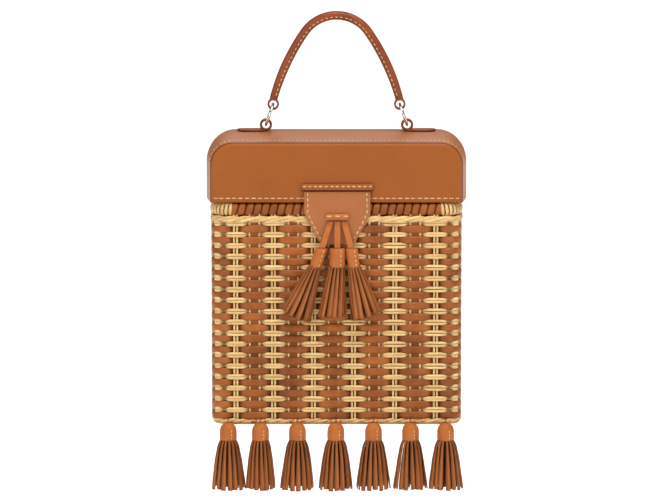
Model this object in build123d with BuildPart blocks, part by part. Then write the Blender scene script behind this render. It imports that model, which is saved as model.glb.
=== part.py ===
"""Woven box bag: a cane and leather-strip basket with a hinged padded leather lid, a rolled
top handle on two brass rings, a tasselled clasp flap and a row of leather tassels below.

Millimetres. The origin is the middle of the basket's underside, +Z is up and the front faces -Y.
"""

import os
from math import atan2, cos, degrees, hypot, pi, radians, sin

from build123d import *

os.makedirs("parts", exist_ok=True)

# Basket
basket_width = 183.0
basket_depth = 100.0
basket_corner = 14.0
corner_flats = 3
stake_wall = 2.4
ridge_depth = 1.6
row_count = 18
ring_gap = 0.1

# Gaps in the weave, beside the paired stakes of the front and the back
stake_pitch = 29.1
paired_stakes = 6
gap_width = 1.7
gap_height = 2.0
gap_offset = 3.4
gap_row_step = 8

# Base and wales
border_height = 2.2
border_inset = 1.4
border_width = 6.0
base_thickness = 2.2
bottom_wale_height = 1.8
top_wale_height = 6.5
wale_strands = 2
wale_slope = 33.0
wall_top = 154.0

# Lining of the basket
lining_gap = 0.2
basket_lining_thickness = 1.2

# Rim
rim_height = 8.6
rim_depth = 8.6
rim_chamfer = 2.3
wrap_pitch = 5.74
wrap_relief = 0.6
wrap_lean = 0.22
rod_width = 4.0
rod_chamfer = 1.17
rod_clearance = 0.15

# Lid
lid_gap = 0.7
lid_width = 182.4
lid_height = 43.4
lid_corner = 16.0
lid_corner_flats = 6
panel_thickness = 2.4
panel_bevel = 1.6
welt_thickness = 0.8
welt_proud = 0.35
welt_depth = 2.0
gusset_leather = 1.6
side_crown = 4.3
top_crown = 4.0
crown_corner = 21.0
crown_stations = 6
former_thickness = 1.9
lid_lining_thickness = 1.0

# Hinge loops of the lid round the rim rod
hinge_x = 46.0
hinge_width = 18.0
hinge_leather = 1.2
hinge_tongue = 16.0
hinge_side_gap = 0.4

# Top handle, brass rings and their tabs
ring_radius = 8.1
ring_wire = 1.0
ring_tilt = 19.5
ring_x = 49.2
ring_sides = 20
ring_bevel = 0.58
loop_hole = 2.85
loop_width = 6.0
tab_loop_outer = 4.6
tab_thickness = 1.7
tab_width = 13.0
tab_length = 22.0
handle_radius = 3.35
handle_top = 72.9
handle_shoulder_x = 23.3
handle_shoulder_z = 60.7
handle_loop_outer = 4.3
handle_sides = 8
crown_flats = 8
leg_flats = 4
loop_sides = 16

# Clasp flap and its keeper
clasp_x = 0.6
keeper_width = 51.6
keeper_height = 5.0
keeper_proud = 3.0
keeper_z = 9.0
flap_width = 48.0
flap_tip_width = 23.4
flap_straight = 17.0
flap_length = 38.7
flap_thickness = 1.8
flap_gap = 0.3
flap_corner = 3.0
snap_radius = 4.5
snap_sides = 16
snap_drop = 30.5
stud_thickness = 0.8
socket_depth = 3.6
socket_clearance = 0.1

# Charm tassels on the flap
charm_keeper_width = 16.6
charm_keeper_height = 4.4
charm_keeper_proud = 2.3
charm_keeper_drop = 16.7
strap_width = 4.4
strap_thickness = 1.3
charm_gap = 0.3
charm_sides = 10
# For each charm: strap top x, head top x, head bottom x, fringe foot x, head width, foot width
charm_left = (-4.9, -11.4, -16.0, -30.5, 9.4, 22.0)
charm_middle = (0.0, 0.0, -0.1, -4.3, 11.8, 20.0)
charm_right = (4.9, 10.3, 12.1, 20.9, 9.0, 22.5)
head_top_drop = 41.5
head_length = 13.8
charm_fringe_length = 36.0
charm_head_depth = 9.6
charm_foot_depth = 12.0
charm_neck = 0.9
charm_strips = 6
charm_uncut = 5.0

# Tassels along the lower edge: place along X and half the width of the foot
tassels = (
    (-79.0, 12.3),
    (-55.5, 10.9),
    (-28.5, 12.4),
    (-0.5, 12.4),
    (27.0, 12.4),
    (54.0, 12.0),
    (79.6, 12.6),
)
tassel_forward = 4.8
tassel_axis_z = 4.0
cap_radius = 6.35
cap_top = 2.6
cap_length = 12.9
# Height up the cap and radius, as shares of its length and of its greatest radius
cap_profile = ((0, 0.9), (0.26, 1.0), (0.57, 1.0), (0.84, 0.79), (0.95, 0.47), (1, 0.25))
fringe_length = 35.9
fringe_strips = 12
slit_depth = 1.6
slit_width = 0.9
fringe_waist = 0.12
fringe_swell = 0.38
cap_sides = 10
eyelet_sides = 8
eyelet_hole = 0.85
eyelet_wall = 0.7
eyelet_width = 1.6
thread_radius = 0.5
thread_reach = 1.7

# Places worked out from the sizes above
front_y = -basket_depth / 2
wall_width = basket_width - 2 * ridge_depth
wall_depth = basket_depth - 2 * ridge_depth
wall_corner = basket_corner - ridge_depth
inside_width = wall_width - 2 * stake_wall
inside_depth = wall_depth - 2 * stake_wall
inside_corner = wall_corner - stake_wall
rim_y = basket_depth / 2 - rim_depth / 2
rim_x = basket_width / 2 - rim_depth / 2
rim_z = wall_top + rim_height / 2
rim_bend = basket_corner - rim_depth / 2
rows_bottom = border_height + bottom_wale_height + ring_gap
rows_top = wall_top - top_wale_height - 2 * ring_gap
row_pitch = (rows_top - rows_bottom) / row_count
first_row_z = rows_bottom + row_pitch / 2
ridge_slope = degrees(atan2(ridge_depth, row_pitch / 2))
lid_bottom = wall_top + rim_height + lid_gap
lid_top = lid_bottom + lid_height
crown_top = lid_top + top_crown
gusset_depth = basket_depth - 2 * panel_thickness - 2 * welt_thickness
hinge_bore = rod_width / 2 / cos(pi / 8) + rod_clearance
hinge_outer = hinge_bore + hinge_leather


def export_piece(builder, name):
    """Label a finished piece and write it to its own file."""
    builder.part.label = name
    export_step(builder.part, f"parts/{name}.step")


def turned_rectangle(width, depth, radius):
    """A rectangle whose corners turn in short flats, as strips do where they bend round a stake."""
    points = [
        (
            sx * (width / 2 - radius) + radius * cos(radians(start + 90 * k / corner_flats)),
            sy * (depth / 2 - radius) + radius * sin(radians(start + 90 * k / corner_flats)),
        )
        for sx, sy, start in ((1, 1, 0), (-1, 1, 90), (-1, -1, 180), (1, -1, 270))
        for k in range(corner_flats + 1)
    ]
    Polygon(*points, align=None)


# Wall of the basket: one shell with a ridge for each leather row and gaps beside the paired stakes
with BuildPart() as wall_weave:
    for low, high in ((border_height, rows_bottom), (rows_top, wall_top)):
        with BuildSketch(Plane.XY.offset(low)):
            turned_rectangle(wall_width, wall_depth, wall_corner)
        extrude(amount=high - low)
    for row in range(row_count):
        with BuildSketch(Plane.XY.offset(first_row_z + row * row_pitch)):
            turned_rectangle(basket_width, basket_depth, basket_corner)
        extrude(amount=row_pitch / 2, both=True, taper=ridge_slope)
    with BuildSketch(Plane.XY.offset(border_height)):
        turned_rectangle(inside_width, inside_depth, inside_corner)
    extrude(amount=wall_top - border_height, mode=Mode.SUBTRACT)
    gap_rows = range(1, row_count - 1, gap_row_step)
    with BuildSketch(Plane.XZ):
        for row in gap_rows:
            gap_z = first_row_z + (row + 0.5) * row_pitch
            for side in (-gap_offset, gap_offset):
                with Locations((side, gap_z)):
                    with GridLocations(stake_pitch, 1, paired_stakes, 1):
                        Rectangle(gap_width, gap_height)
    extrude(amount=basket_depth, both=True, mode=Mode.SUBTRACT)
    # seat of the snap socket in the front
    with BuildSketch(Plane.XZ.offset(-front_y)):
        with Locations((clasp_x, lid_bottom + keeper_z - snap_drop)):
            RegularPolygon(snap_radius + socket_clearance, snap_sides)
    extrude(amount=-(ridge_depth + stake_wall), mode=Mode.SUBTRACT)
export_piece(wall_weave, "wall_weave")


def wale(bottom, height, strands):
    """A band of twisted canes laid round the wall: stacked rings with a sloping face above and below."""
    strand = height / strands
    with BuildPart() as band:
        for level in range(strands):
            with BuildSketch(Plane.XY.offset(bottom + (level + 0.5) * strand)):
                turned_rectangle(basket_width, basket_depth, basket_corner)
            extrude(amount=strand / 2, both=True, taper=wale_slope)
        with BuildSketch(Plane.XY.offset(bottom)):
            turned_rectangle(
                wall_width + 2 * ring_gap, wall_depth + 2 * ring_gap, wall_corner + ring_gap
            )
        extrude(amount=height, mode=Mode.SUBTRACT)
    return band


top_wale = wale(wall_top - top_wale_height - ring_gap, top_wale_height, wale_strands)
export_piece(top_wale, "top_wale")
bottom_wale = wale(border_height, bottom_wale_height, 1)
export_piece(bottom_wale, "bottom_wale")

# Bound border round the base
with BuildPart() as base_border:
    border_w = basket_width - 2 * border_inset
    border_d = basket_depth - 2 * border_inset
    border_r = basket_corner - border_inset
    with BuildSketch():
        turned_rectangle(border_w, border_d, border_r)
    extrude(amount=border_height)
    with BuildSketch():
        turned_rectangle(
            border_w - 2 * border_width,
            border_d - 2 * border_width,
            border_r - border_width,
        )
    extrude(amount=border_height, mode=Mode.SUBTRACT)
export_piece(base_border, "base_border")

# Base board inside the border
with BuildPart() as base_board:
    board_inset = border_inset + border_width + ring_gap
    with BuildSketch():
        turned_rectangle(
            basket_width - 2 * board_inset,
            basket_depth - 2 * board_inset,
            basket_corner - board_inset,
        )
    extrude(amount=base_thickness)
export_piece(base_board, "base_board")

# Lining of the basket: floor and four walls up to the rim
with BuildPart() as basket_lining:
    lining_w = inside_width - 2 * lining_gap
    lining_d = inside_depth - 2 * lining_gap
    lining_r = inside_corner - lining_gap
    with BuildSketch(Plane.XY.offset(base_thickness)):
        turned_rectangle(lining_w, lining_d, lining_r)
    extrude(amount=wall_top - base_thickness)
    with BuildSketch(Plane.XY.offset(base_thickness + basket_lining_thickness)):
        turned_rectangle(
            lining_w - 2 * basket_lining_thickness,
            lining_d - 2 * basket_lining_thickness,
            lining_r - basket_lining_thickness,
        )
    extrude(amount=wall_top - base_thickness, mode=Mode.SUBTRACT)
export_piece(basket_lining, "basket_lining")


def rim_section(width, height, edge):
    """Eight-sided section of a rim piece, square with its corners cut."""
    box = Rectangle(width, height)
    chamfer(box.vertices(), edge)


def rim_hoop(width, height, edge, mode=Mode.ADD):
    """A closed bar round the rim with its long edges cut."""
    with BuildPart(mode=Mode.PRIVATE) as hoop:
        with BuildSketch(Plane.XY.offset(rim_z - height / 2)):
            turned_rectangle(2 * rim_x + width, 2 * rim_y + width, rim_bend + width / 2)
        extrude(amount=height)
        with BuildSketch(Plane.XY.offset(rim_z - height / 2)):
            turned_rectangle(2 * rim_x - width, 2 * rim_y - width, rim_bend - width / 2)
        extrude(amount=height, mode=Mode.SUBTRACT)
        ends = hoop.faces().sort_by(Axis.Z)
        chamfer(ends[0].edges() + ends[-1].edges(), edge)
    add(hoop.part, mode=mode)


# Rim rod: a hoop of bent cane
with BuildPart() as rim_rod:
    rim_hoop(rod_width, rod_width, rod_chamfer)
export_piece(rim_rod, "rim_rod")


def wrapped_bar(length, at, direction, slots):
    """A straight stretch of the rim: leather wound slantwise on the rod, as a saw-toothed outline
    sheared upwards, trimmed to an eight-sided section and bored for the rod."""
    turns = round(length / wrap_pitch)
    pitch = length / turns
    half = rim_depth / 2
    lean = wrap_lean * rim_height
    overrun = 2
    outer = [
        (-length / 2 + (n - overrun) * pitch + (pitch if high else 0), -half + (0 if high else wrap_relief))
        for n in range(turns + 2 * overrun)
        for high in (False, True)
    ]
    inner = [(x, -y) for x, y in reversed(outer)]
    ground = Plane(origin=at, x_dir=direction, z_dir=(0, 0, 1))
    axis = Vector(*direction)
    with BuildPart() as bar:
        with BuildSketch(ground.offset(-rim_height / 2)):
            Polygon(*outer, *inner, align=None)
        extrude(amount=rim_height * hypot(1, wrap_lean), dir=Vector(0, 0, 1) + axis * wrap_lean)
        section = Plane(origin=Vector(*at) - axis * (length / 2), z_dir=direction)
        with BuildSketch(section):
            rim_section(rim_depth, rim_height, rim_chamfer)
        extrude(amount=length, mode=Mode.INTERSECT)
        with BuildSketch(section):
            rim_section(rod_width + rod_clearance, rod_width + rod_clearance, rod_chamfer)
        extrude(amount=length, mode=Mode.SUBTRACT)
        for slot in slots:
            with BuildSketch(ground.offset(-rim_height)):
                with Locations((slot, 0)):
                    Rectangle(hinge_width + 2 * hinge_side_gap, 2 * rim_depth)
            extrude(amount=2 * rim_height, mode=Mode.SUBTRACT)
    return bar


front_length = basket_width - 2 * basket_corner
side_length = basket_depth - 2 * basket_corner
rim_front = wrapped_bar(front_length, (0, -rim_y, rim_z), (1, 0, 0), ())
export_piece(rim_front, "rim_wrap_front")
rim_back = wrapped_bar(front_length, (0, rim_y, rim_z), (-1, 0, 0), (-hinge_x, hinge_x))
export_piece(rim_back, "rim_wrap_back")
rim_left = wrapped_bar(side_length, (-rim_x, 0, rim_z), (0, -1, 0), ())
export_piece(rim_left, "rim_wrap_left")
rim_right = wrapped_bar(side_length, (rim_x, 0, rim_z), (0, 1, 0), ())
export_piece(rim_right, "rim_wrap_right")

# Cane bound round the four corners of the rim
with BuildPart() as rim_bindings:
    rim_hoop(rim_depth, rim_height, rim_chamfer)
    rim_hoop(rod_width + rod_clearance, rod_width + rod_clearance, rod_chamfer, Mode.SUBTRACT)
    for cut_x, cut_y in ((front_length, 2 * basket_depth), (2 * basket_width, side_length)):
        with BuildSketch(Plane.XY.offset(wall_top - rim_height)):
            Rectangle(cut_x, cut_y)
        extrude(amount=3 * rim_height, mode=Mode.SUBTRACT)
export_piece(rim_bindings, "rim_corner_bindings")

# Half of the snap that sits in the weave of the front
with BuildPart() as snap_socket:
    with BuildSketch(Plane.XZ.offset(-front_y)):
        with Locations((clasp_x, lid_bottom + keeper_z - snap_drop)):
            RegularPolygon(snap_radius, snap_sides)
    extrude(amount=-socket_depth)
export_piece(snap_socket, "snap_socket")

# Threads that carry the seven lower tassels, each a staple out of the lower wale
tassel_y = front_y - tassel_forward
with BuildPart() as tassel_threads:
    for tassel_x, foot in tassels:
        for side in (-thread_reach, thread_reach):
            with BuildSketch(Plane.XZ.offset(-front_y + ring_gap)):
                with Locations((tassel_x + side, tassel_axis_z)):
                    Rectangle(2 * thread_radius, 2 * thread_radius)
            extrude(amount=tassel_forward + thread_radius - ring_gap)
        with BuildSketch(Plane.XZ.offset(-tassel_y - thread_radius)):
            with Locations((tassel_x, tassel_axis_z)):
                Rectangle(2 * thread_reach, 2 * thread_radius)
        extrude(amount=2 * thread_radius)
export_piece(tassel_threads, "tassel_threads")


def lid_outline(width, top, corner, bottom):
    """Front outline of the lid: open lower edge square, upper corners turned in short flats."""
    half = width / 2
    arc = [radians(90 * k / lid_corner_flats) for k in range(lid_corner_flats + 1)]
    right = [(half - corner + corner * cos(a), top - corner + corner * sin(a)) for a in arc]
    left = [(-x, z) for x, z in reversed(right)]
    Polygon((half, bottom), *right, *left, (-half, bottom), align=None)


def shrunk_outline(inset, bottom=lid_bottom):
    """The lid's outline drawn inwards by an inset, open edge apart."""
    lid_outline(lid_width - 2 * inset, lid_top - inset, lid_corner - inset, bottom)


# Padded front and back panels of the lid
panel_start = basket_depth / 2 - panel_thickness
for name, side in (("lid_front", -1), ("lid_back", 1)):
    with BuildPart() as panel:
        with BuildSketch(Plane(origin=(0, side * panel_start, 0), x_dir=(-side, 0, 0), z_dir=(0, side, 0))):
            shrunk_outline(0)
        extrude(amount=panel_thickness)
        face_edges = panel.faces().sort_by(Axis.Y)[0 if side < 0 else -1].edges()
        chamfer(face_edges.filter_by(lambda edge: edge.center().Z > lid_bottom + ring_gap), panel_bevel)
    export_piece(panel, name)

# Welts in the seams between the panels and the gusset
for name, side in (("lid_welt_front", -1), ("lid_welt_back", 1)):
    with BuildPart() as welt:
        with BuildSketch(Plane(origin=(0, side * panel_start, 0), x_dir=(side, 0, 0), z_dir=(0, -side, 0))):
            shrunk_outline(-welt_proud)
        extrude(amount=welt_thickness)
        with BuildSketch(Plane(origin=(0, side * panel_start, 0), x_dir=(side, 0, 0), z_dir=(0, -side, 0))):
            shrunk_outline(welt_depth, lid_bottom - 1)
        extrude(amount=welt_thickness, mode=Mode.SUBTRACT)
    export_piece(welt, name)

# Gusset of the lid: crowned outwards between the seams, straight inside
with BuildPart() as lid_gusset:
    for station in range(crown_stations + 1):
        along = 2 * station / crown_stations - 1
        crown = 1 - along**2
        with BuildSketch(Plane.XZ.offset(-along * gusset_depth / 2)):
            lid_outline(
                lid_width + 2 * crown * side_crown,
                lid_top + crown * top_crown,
                lid_corner + crown * (crown_corner - lid_corner),
                lid_bottom,
            )
    loft(ruled=True)
    with BuildSketch(Plane.XZ.offset(-gusset_depth / 2)):
        shrunk_outline(gusset_leather, lid_bottom - 1)
    extrude(amount=gusset_depth, mode=Mode.SUBTRACT)
export_piece(lid_gusset, "lid_gusset")


def lid_box(inset, thickness, depth):
    """An open box that fits inside the lid, its walls of one thickness."""
    with BuildPart() as shell:
        with BuildSketch(Plane.XZ.offset(-depth / 2)):
            shrunk_outline(inset)
        extrude(amount=depth)
        with BuildSketch(Plane.XZ.offset(-depth / 2 + thickness)):
            shrunk_outline(inset + thickness, lid_bottom - 1)
        extrude(amount=depth - 2 * thickness, mode=Mode.SUBTRACT)
    return shell


former_inset = gusset_leather + lining_gap
lid_former = lid_box(former_inset, former_thickness, gusset_depth)
export_piece(lid_former, "lid_former")
lining_depth = gusset_depth - 2 * former_thickness - 2 * lining_gap
lid_lining = lid_box(
    former_inset + former_thickness + lining_gap, lid_lining_thickness, lining_depth
)
export_piece(lid_lining, "lid_lining")

# Leather loops that hinge the lid round the rim rod, each with a tongue fixed inside the lid
for name, side in (("hinge_loop_left", -1), ("hinge_loop_right", 1)):
    with BuildPart() as hinge_loop:
        with BuildSketch(Plane.YZ.offset(side * hinge_x - hinge_width / 2)):
            with Locations((rim_y, rim_z)):
                RegularPolygon(hinge_outer, loop_sides)
            tongue_low = (rim_y - hinge_outer, rim_z)
            with Locations(tongue_low):
                Rectangle(
                    hinge_leather, lid_bottom + hinge_tongue - rim_z, align=(Align.MIN, Align.MIN)
                )
            with Locations((rim_y, rim_z)):
                Circle(hinge_bore, mode=Mode.SUBTRACT)
        extrude(amount=hinge_width)
    export_piece(hinge_loop, name)

# Places of the rings, their tabs and the loops of the handle
tilt = radians(ring_tilt)
tab_loop_x = ring_x + ring_radius * sin(tilt)
tab_loop_z = crown_top + ring_gap + tab_loop_outer
ring_z = tab_loop_z + ring_radius * cos(tilt)
handle_loop_x = ring_x - ring_radius * sin(tilt)
handle_loop_z = ring_z + ring_radius * cos(tilt)

# Tabs on top of the lid: a strap folded over into a loop for the ring
for name, side in (("handle_tab_left", -1), ("handle_tab_right", 1)):
    with BuildPart() as tab:
        with BuildSketch(Plane.XY.offset(crown_top + ring_gap)):
            with Locations((side * (tab_loop_x + tab_length / 2), 0)):
                Rectangle(tab_length, tab_width)
            with Locations((side * tab_loop_x, 0)):
                Rectangle(2 * tab_thickness, loop_width)
        extrude(amount=tab_thickness)
        corners = tab.edges().filter_by(Axis.Z).group_by(Axis.X)[0 if side < 0 else -1]
        chamfer(corners, tab_width / 4)
        with BuildSketch(Plane.XZ.offset(-loop_width / 2)):
            with Locations((side * tab_loop_x, tab_loop_z)):
                RegularPolygon(tab_loop_outer, loop_sides)
        extrude(amount=loop_width)
        with BuildSketch(Plane.XZ.offset(-tab_width)):
            with Locations((side * tab_loop_x, tab_loop_z)):
                RegularPolygon(loop_hole, loop_sides, major_radius=False)
        extrude(amount=2 * tab_width, mode=Mode.SUBTRACT)
    export_piece(tab, name)

# Brass rings, leaning inwards at the top
for name, side in (("ring_left", -1), ("ring_right", 1)):
    with BuildPart() as ring:
        leaning = Plane(
            origin=(side * ring_x, 0, ring_z), x_dir=(0, 1, 0), z_dir=(side * cos(tilt), 0, sin(tilt))
        )
        with BuildSketch(leaning.offset(-ring_wire)):
            RegularPolygon(ring_radius + ring_wire, ring_sides)
            RegularPolygon(ring_radius - ring_wire, ring_sides, mode=Mode.SUBTRACT)
        extrude(amount=2 * ring_wire)
        broad = ring.faces().sort_by(SortBy.AREA)[-2:]
        chamfer(broad.edges(), ring_bevel)
    export_piece(ring, name)

# Line of the handle: a crown arc and two legs tangent to it, in short flats
foot_z = handle_loop_z + loop_hole
shoulder = Vector(handle_shoulder_x, 0, ring_z + handle_shoulder_z)
crown_arc = ThreePointArc((-shoulder.X, 0, shoulder.Z), (0, 0, ring_z + handle_top), shoulder)
leg_arc = TangentArc(shoulder, (handle_loop_x, 0, foot_z), tangent=crown_arc % 1)
crown_bends = [crown_arc @ (k / crown_flats) for k in range(crown_flats + 1)]
leg_bends = [leg_arc @ ((k + 1) / leg_flats) for k in range(leg_flats)]
left_bends = [Vector(-bend.X, 0, bend.Z) for bend in reversed(leg_bends)]

# Rolled leather handle: an arch with a loop folded at each end
with BuildPart() as handle:
    with BuildLine() as arch:
        Polyline(*left_bends, *crown_bends, *leg_bends)
    path = arch.wires()[0]
    with BuildSketch(path ^ 0):
        RegularPolygon(handle_radius, handle_sides)
    sweep(path=path, transition=Transition.RIGHT)
    for side in (-1, 1):
        with BuildSketch(Plane.XZ.offset(-loop_width / 2)):
            with Locations((side * handle_loop_x, handle_loop_z)):
                RegularPolygon(handle_loop_outer, loop_sides)
        extrude(amount=loop_width)
    with BuildSketch(Plane.XZ.offset(-2 * handle_radius)):
        with Locations((-handle_loop_x, handle_loop_z), (handle_loop_x, handle_loop_z)):
            RegularPolygon(loop_hole, loop_sides, major_radius=False)
    extrude(amount=4 * handle_radius, mode=Mode.SUBTRACT)
export_piece(handle, "handle")

# Keeper stitched across the front of the lid, which holds the top of the clasp flap
keeper_bottom = lid_bottom + keeper_z
with BuildPart() as clasp_keeper:
    with BuildSketch(Plane.XZ.offset(-front_y)):
        with Locations((clasp_x, keeper_bottom)):
            Rectangle(keeper_width, keeper_height, align=(Align.CENTER, Align.MIN))
    extrude(amount=keeper_proud)
    chamfer(clasp_keeper.faces().sort_by(Axis.Y)[0].edges(), keeper_proud / 3)
export_piece(clasp_keeper, "clasp_keeper")

# Clasp flap, with a pocket in its back for the stud
flap_back = front_y - flap_gap
flap_face = flap_back - flap_thickness
flap_axis_z = keeper_bottom - flap_gap - flap_thickness / 2
flap_top = flap_axis_z + flap_thickness / 2 - flap_gap / 2
snap_z = keeper_bottom - snap_drop
with BuildPart() as clasp_flap:
    with BuildSketch(Plane.XZ.offset(-flap_back)):
        with Locations((clasp_x, flap_top)):
            outline = Polygon(
                (-flap_width / 2, 0),
                (flap_width / 2, 0),
                (flap_width / 2, -flap_straight),
                (flap_tip_width / 2, -flap_length),
                (-flap_tip_width / 2, -flap_length),
                (-flap_width / 2, -flap_straight),
                align=None,
            )
            chamfer(outline.vertices().group_by(Axis.Y)[0], flap_corner / 2)
    extrude(amount=flap_thickness)
    ends = clasp_flap.faces().sort_by(Axis.Z)[-1].edges().filter_by(Axis.X)
    chamfer(ends, flap_thickness / 4)
    with BuildSketch(Plane.XZ.offset(-flap_back)):
        with Locations((clasp_x, snap_z)):
            RegularPolygon(snap_radius + socket_clearance, snap_sides)
    extrude(amount=stud_thickness, mode=Mode.SUBTRACT)
export_piece(clasp_flap, "clasp_flap")

# Stud of the snap in the back of the flap
with BuildPart() as snap_stud:
    with BuildSketch(Plane.XZ.offset(-flap_back + socket_clearance)):
        with Locations((clasp_x, snap_z)):
            RegularPolygon(snap_radius, snap_sides)
    extrude(amount=stud_thickness - socket_clearance)
export_piece(snap_stud, "snap_stud")

# Keeper on the flap that carries the three charm tassels
charm_top = keeper_bottom - charm_keeper_drop
charm_bottom = charm_top - charm_keeper_height
with BuildPart() as charm_keeper:
    with BuildSketch(Plane.XZ.offset(-flap_face)):
        with Locations((clasp_x, charm_bottom)):
            Rectangle(charm_keeper_width, charm_keeper_height, align=(Align.CENTER, Align.MIN))
    extrude(amount=charm_keeper_proud)
    chamfer(charm_keeper.faces().sort_by(Axis.Y)[0].edges(), charm_keeper_proud / 3)
export_piece(charm_keeper, "charm_keeper")


def oval(x, y, width, depth, sides):
    """Outline of a wrapped leather band: an oval of short flats."""
    turns = [2 * pi * k / sides for k in range(sides)]
    Polygon(*[(x + width / 2 * cos(t), y + depth / 2 * sin(t)) for t in turns], align=None)


def tapered_stage(x, y, low, high, low_radius, high_radius):
    """One stage of a turned shape with flats, from a lower to an upper radius."""
    flat = cos(pi / cap_sides)
    with BuildPart(mode=Mode.PRIVATE) as stage:
        with BuildSketch(Plane.XY.offset(low)):
            with Locations((x, y)):
                RegularPolygon(low_radius, cap_sides)
        extrude(
            amount=high - low,
            taper=degrees(atan2((low_radius - high_radius) * flat, high - low)),
        )
    add(stage.part)


# Charm tassels: a strap from the keeper, a wrapped head and a fringe that fans out
charm_axis_y = flap_face - charm_gap - strap_thickness / 2
charm_axis_z = charm_bottom - charm_gap - strap_thickness / 2
head_top = keeper_bottom - head_top_drop
head_bottom = head_top - head_length
head_y = front_y - charm_gap - charm_head_depth / 2
foot_y = front_y - 2 * charm_gap - charm_foot_depth / 2
foot_z = head_bottom - charm_fringe_length
charms = (("charm_left", charm_left), ("charm_middle", charm_middle), ("charm_right", charm_right))
for name, (strap_x, top_x, low_x, foot_x, head_width, foot_width) in charms:
    with BuildPart() as strap:
        for x, y, z in (
            (strap_x, charm_axis_y, charm_axis_z + strap_thickness / 4),
            (top_x, head_y, head_top),
        ):
            with BuildSketch(Plane.XY.offset(z)):
                with Locations((clasp_x + x, y)):
                    Rectangle(strap_width, strap_thickness)
        loft(ruled=True)
    export_piece(strap, f"{name}_strap")

    with BuildPart() as band:
        for share, size in ((0, 0.86), (0.1, 1.0), (0.9, 1.0), (1, 0.92)):
            x = clasp_x + top_x + share * (low_x - top_x)
            with BuildSketch(Plane.XY.offset(head_top - share * head_length)):
                oval(x, head_y, size * head_width, size * charm_head_depth, charm_sides)
        loft(ruled=True)
    export_piece(band, f"{name}_band")

    neck_width = charm_neck * head_width
    neck_x = clasp_x + low_x
    tip_x = clasp_x + foot_x
    with BuildPart() as fringe:
        with BuildSketch(Plane.XZ.offset(-head_y - charm_foot_depth)):
            Polygon(
                (neck_x - neck_width / 2, head_bottom),
                (neck_x + neck_width / 2, head_bottom),
                (tip_x + foot_width / 2, foot_z),
                (tip_x - foot_width / 2, foot_z),
                align=None,
            )
            for cut in range(1, charm_strips):
                along = cut / charm_strips - 0.5
                slit_top = head_bottom - charm_uncut
                slit_top_x = neck_x + charm_uncut / charm_fringe_length * (tip_x - neck_x)
                slit_foot_x = tip_x + along * foot_width
                slit_top_x = slit_top_x + along * neck_width
                Polygon(
                    (slit_top_x, slit_top),
                    (slit_foot_x + slit_width / 2, foot_z),
                    (slit_foot_x - slit_width / 2, foot_z),
                    align=None,
                    mode=Mode.SUBTRACT,
                )
        extrude(amount=2 * charm_foot_depth)
        half_neck = charm_neck * charm_head_depth / 2
        with BuildSketch(Plane.YZ.offset(clasp_x - foot_width * 2)):
            Polygon(
                (head_y + half_neck, head_bottom),
                (head_y - half_neck, head_bottom),
                (foot_y - charm_foot_depth / 2, foot_z),
                (foot_y + charm_foot_depth / 2, foot_z),
                align=None,
            )
        extrude(amount=foot_width * 4, mode=Mode.INTERSECT)
    export_piece(fringe, f"{name}_fringe")

# Tassels along the lower edge: a domed cap with an eyelet, and a fringe cut into strips
for number, (tassel_x, foot_half) in enumerate(tassels, 1):
    cap_bottom = cap_top - cap_length
    with BuildPart() as cap:
        for (low, low_size), (high, high_size) in zip(cap_profile, cap_profile[1:]):
            tapered_stage(
                tassel_x,
                tassel_y,
                cap_bottom + low * cap_length,
                cap_bottom + high * cap_length,
                low_size * cap_radius,
                high_size * cap_radius,
            )
        with BuildSketch(Plane.YZ.offset(tassel_x - eyelet_width / 2)):
            with Locations((tassel_y, tassel_axis_z)):
                RegularPolygon(eyelet_hole + eyelet_wall, eyelet_sides)
        extrude(amount=eyelet_width)
        with BuildSketch(Plane.YZ.offset(tassel_x - cap_radius)):
            with Locations((tassel_y, tassel_axis_z)):
                RegularPolygon(eyelet_hole, eyelet_sides)
        extrude(amount=2 * cap_radius, mode=Mode.SUBTRACT)
    export_piece(cap, f"tassel_{number}_cap")

    neck = cap_profile[0][1] * cap_radius
    waist = neck + fringe_swell * (foot_half - neck)
    waist_z = cap_bottom - fringe_waist * fringe_length
    foot = cap_bottom - fringe_length
    with BuildPart() as fringe:
        tapered_stage(tassel_x, tassel_y, foot, waist_z, foot_half, waist)
        tapered_stage(tassel_x, tassel_y, waist_z, cap_bottom, waist, neck)
        for strip in range(fringe_strips):
            turn = 2 * pi * (strip + 0.5) / fringe_strips
            out = (cos(turn), sin(turn), 0)
            radial = Plane(origin=(tassel_x, tassel_y, 0), x_dir=out, z_dir=(sin(turn), -cos(turn), 0))
            with BuildSketch(radial):
                Polygon(
                    (foot_half - slit_depth, foot),
                    (foot_half + slit_depth, foot),
                    (waist + slit_depth, waist_z),
                    (waist - slit_depth, waist_z),
                    align=None,
                )
            extrude(amount=slit_width / 2, both=True, mode=Mode.SUBTRACT)
    export_piece(fringe, f"tassel_{number}_fringe")
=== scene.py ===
"""A small box bag of woven cane and leather strips, with a hinged leather lid, a rolled handle on brass
rings, a clasp flap with three charm tassels and seven tassels along its lower front edge."""
from math import atan, cos, pi, radians, sin

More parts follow.
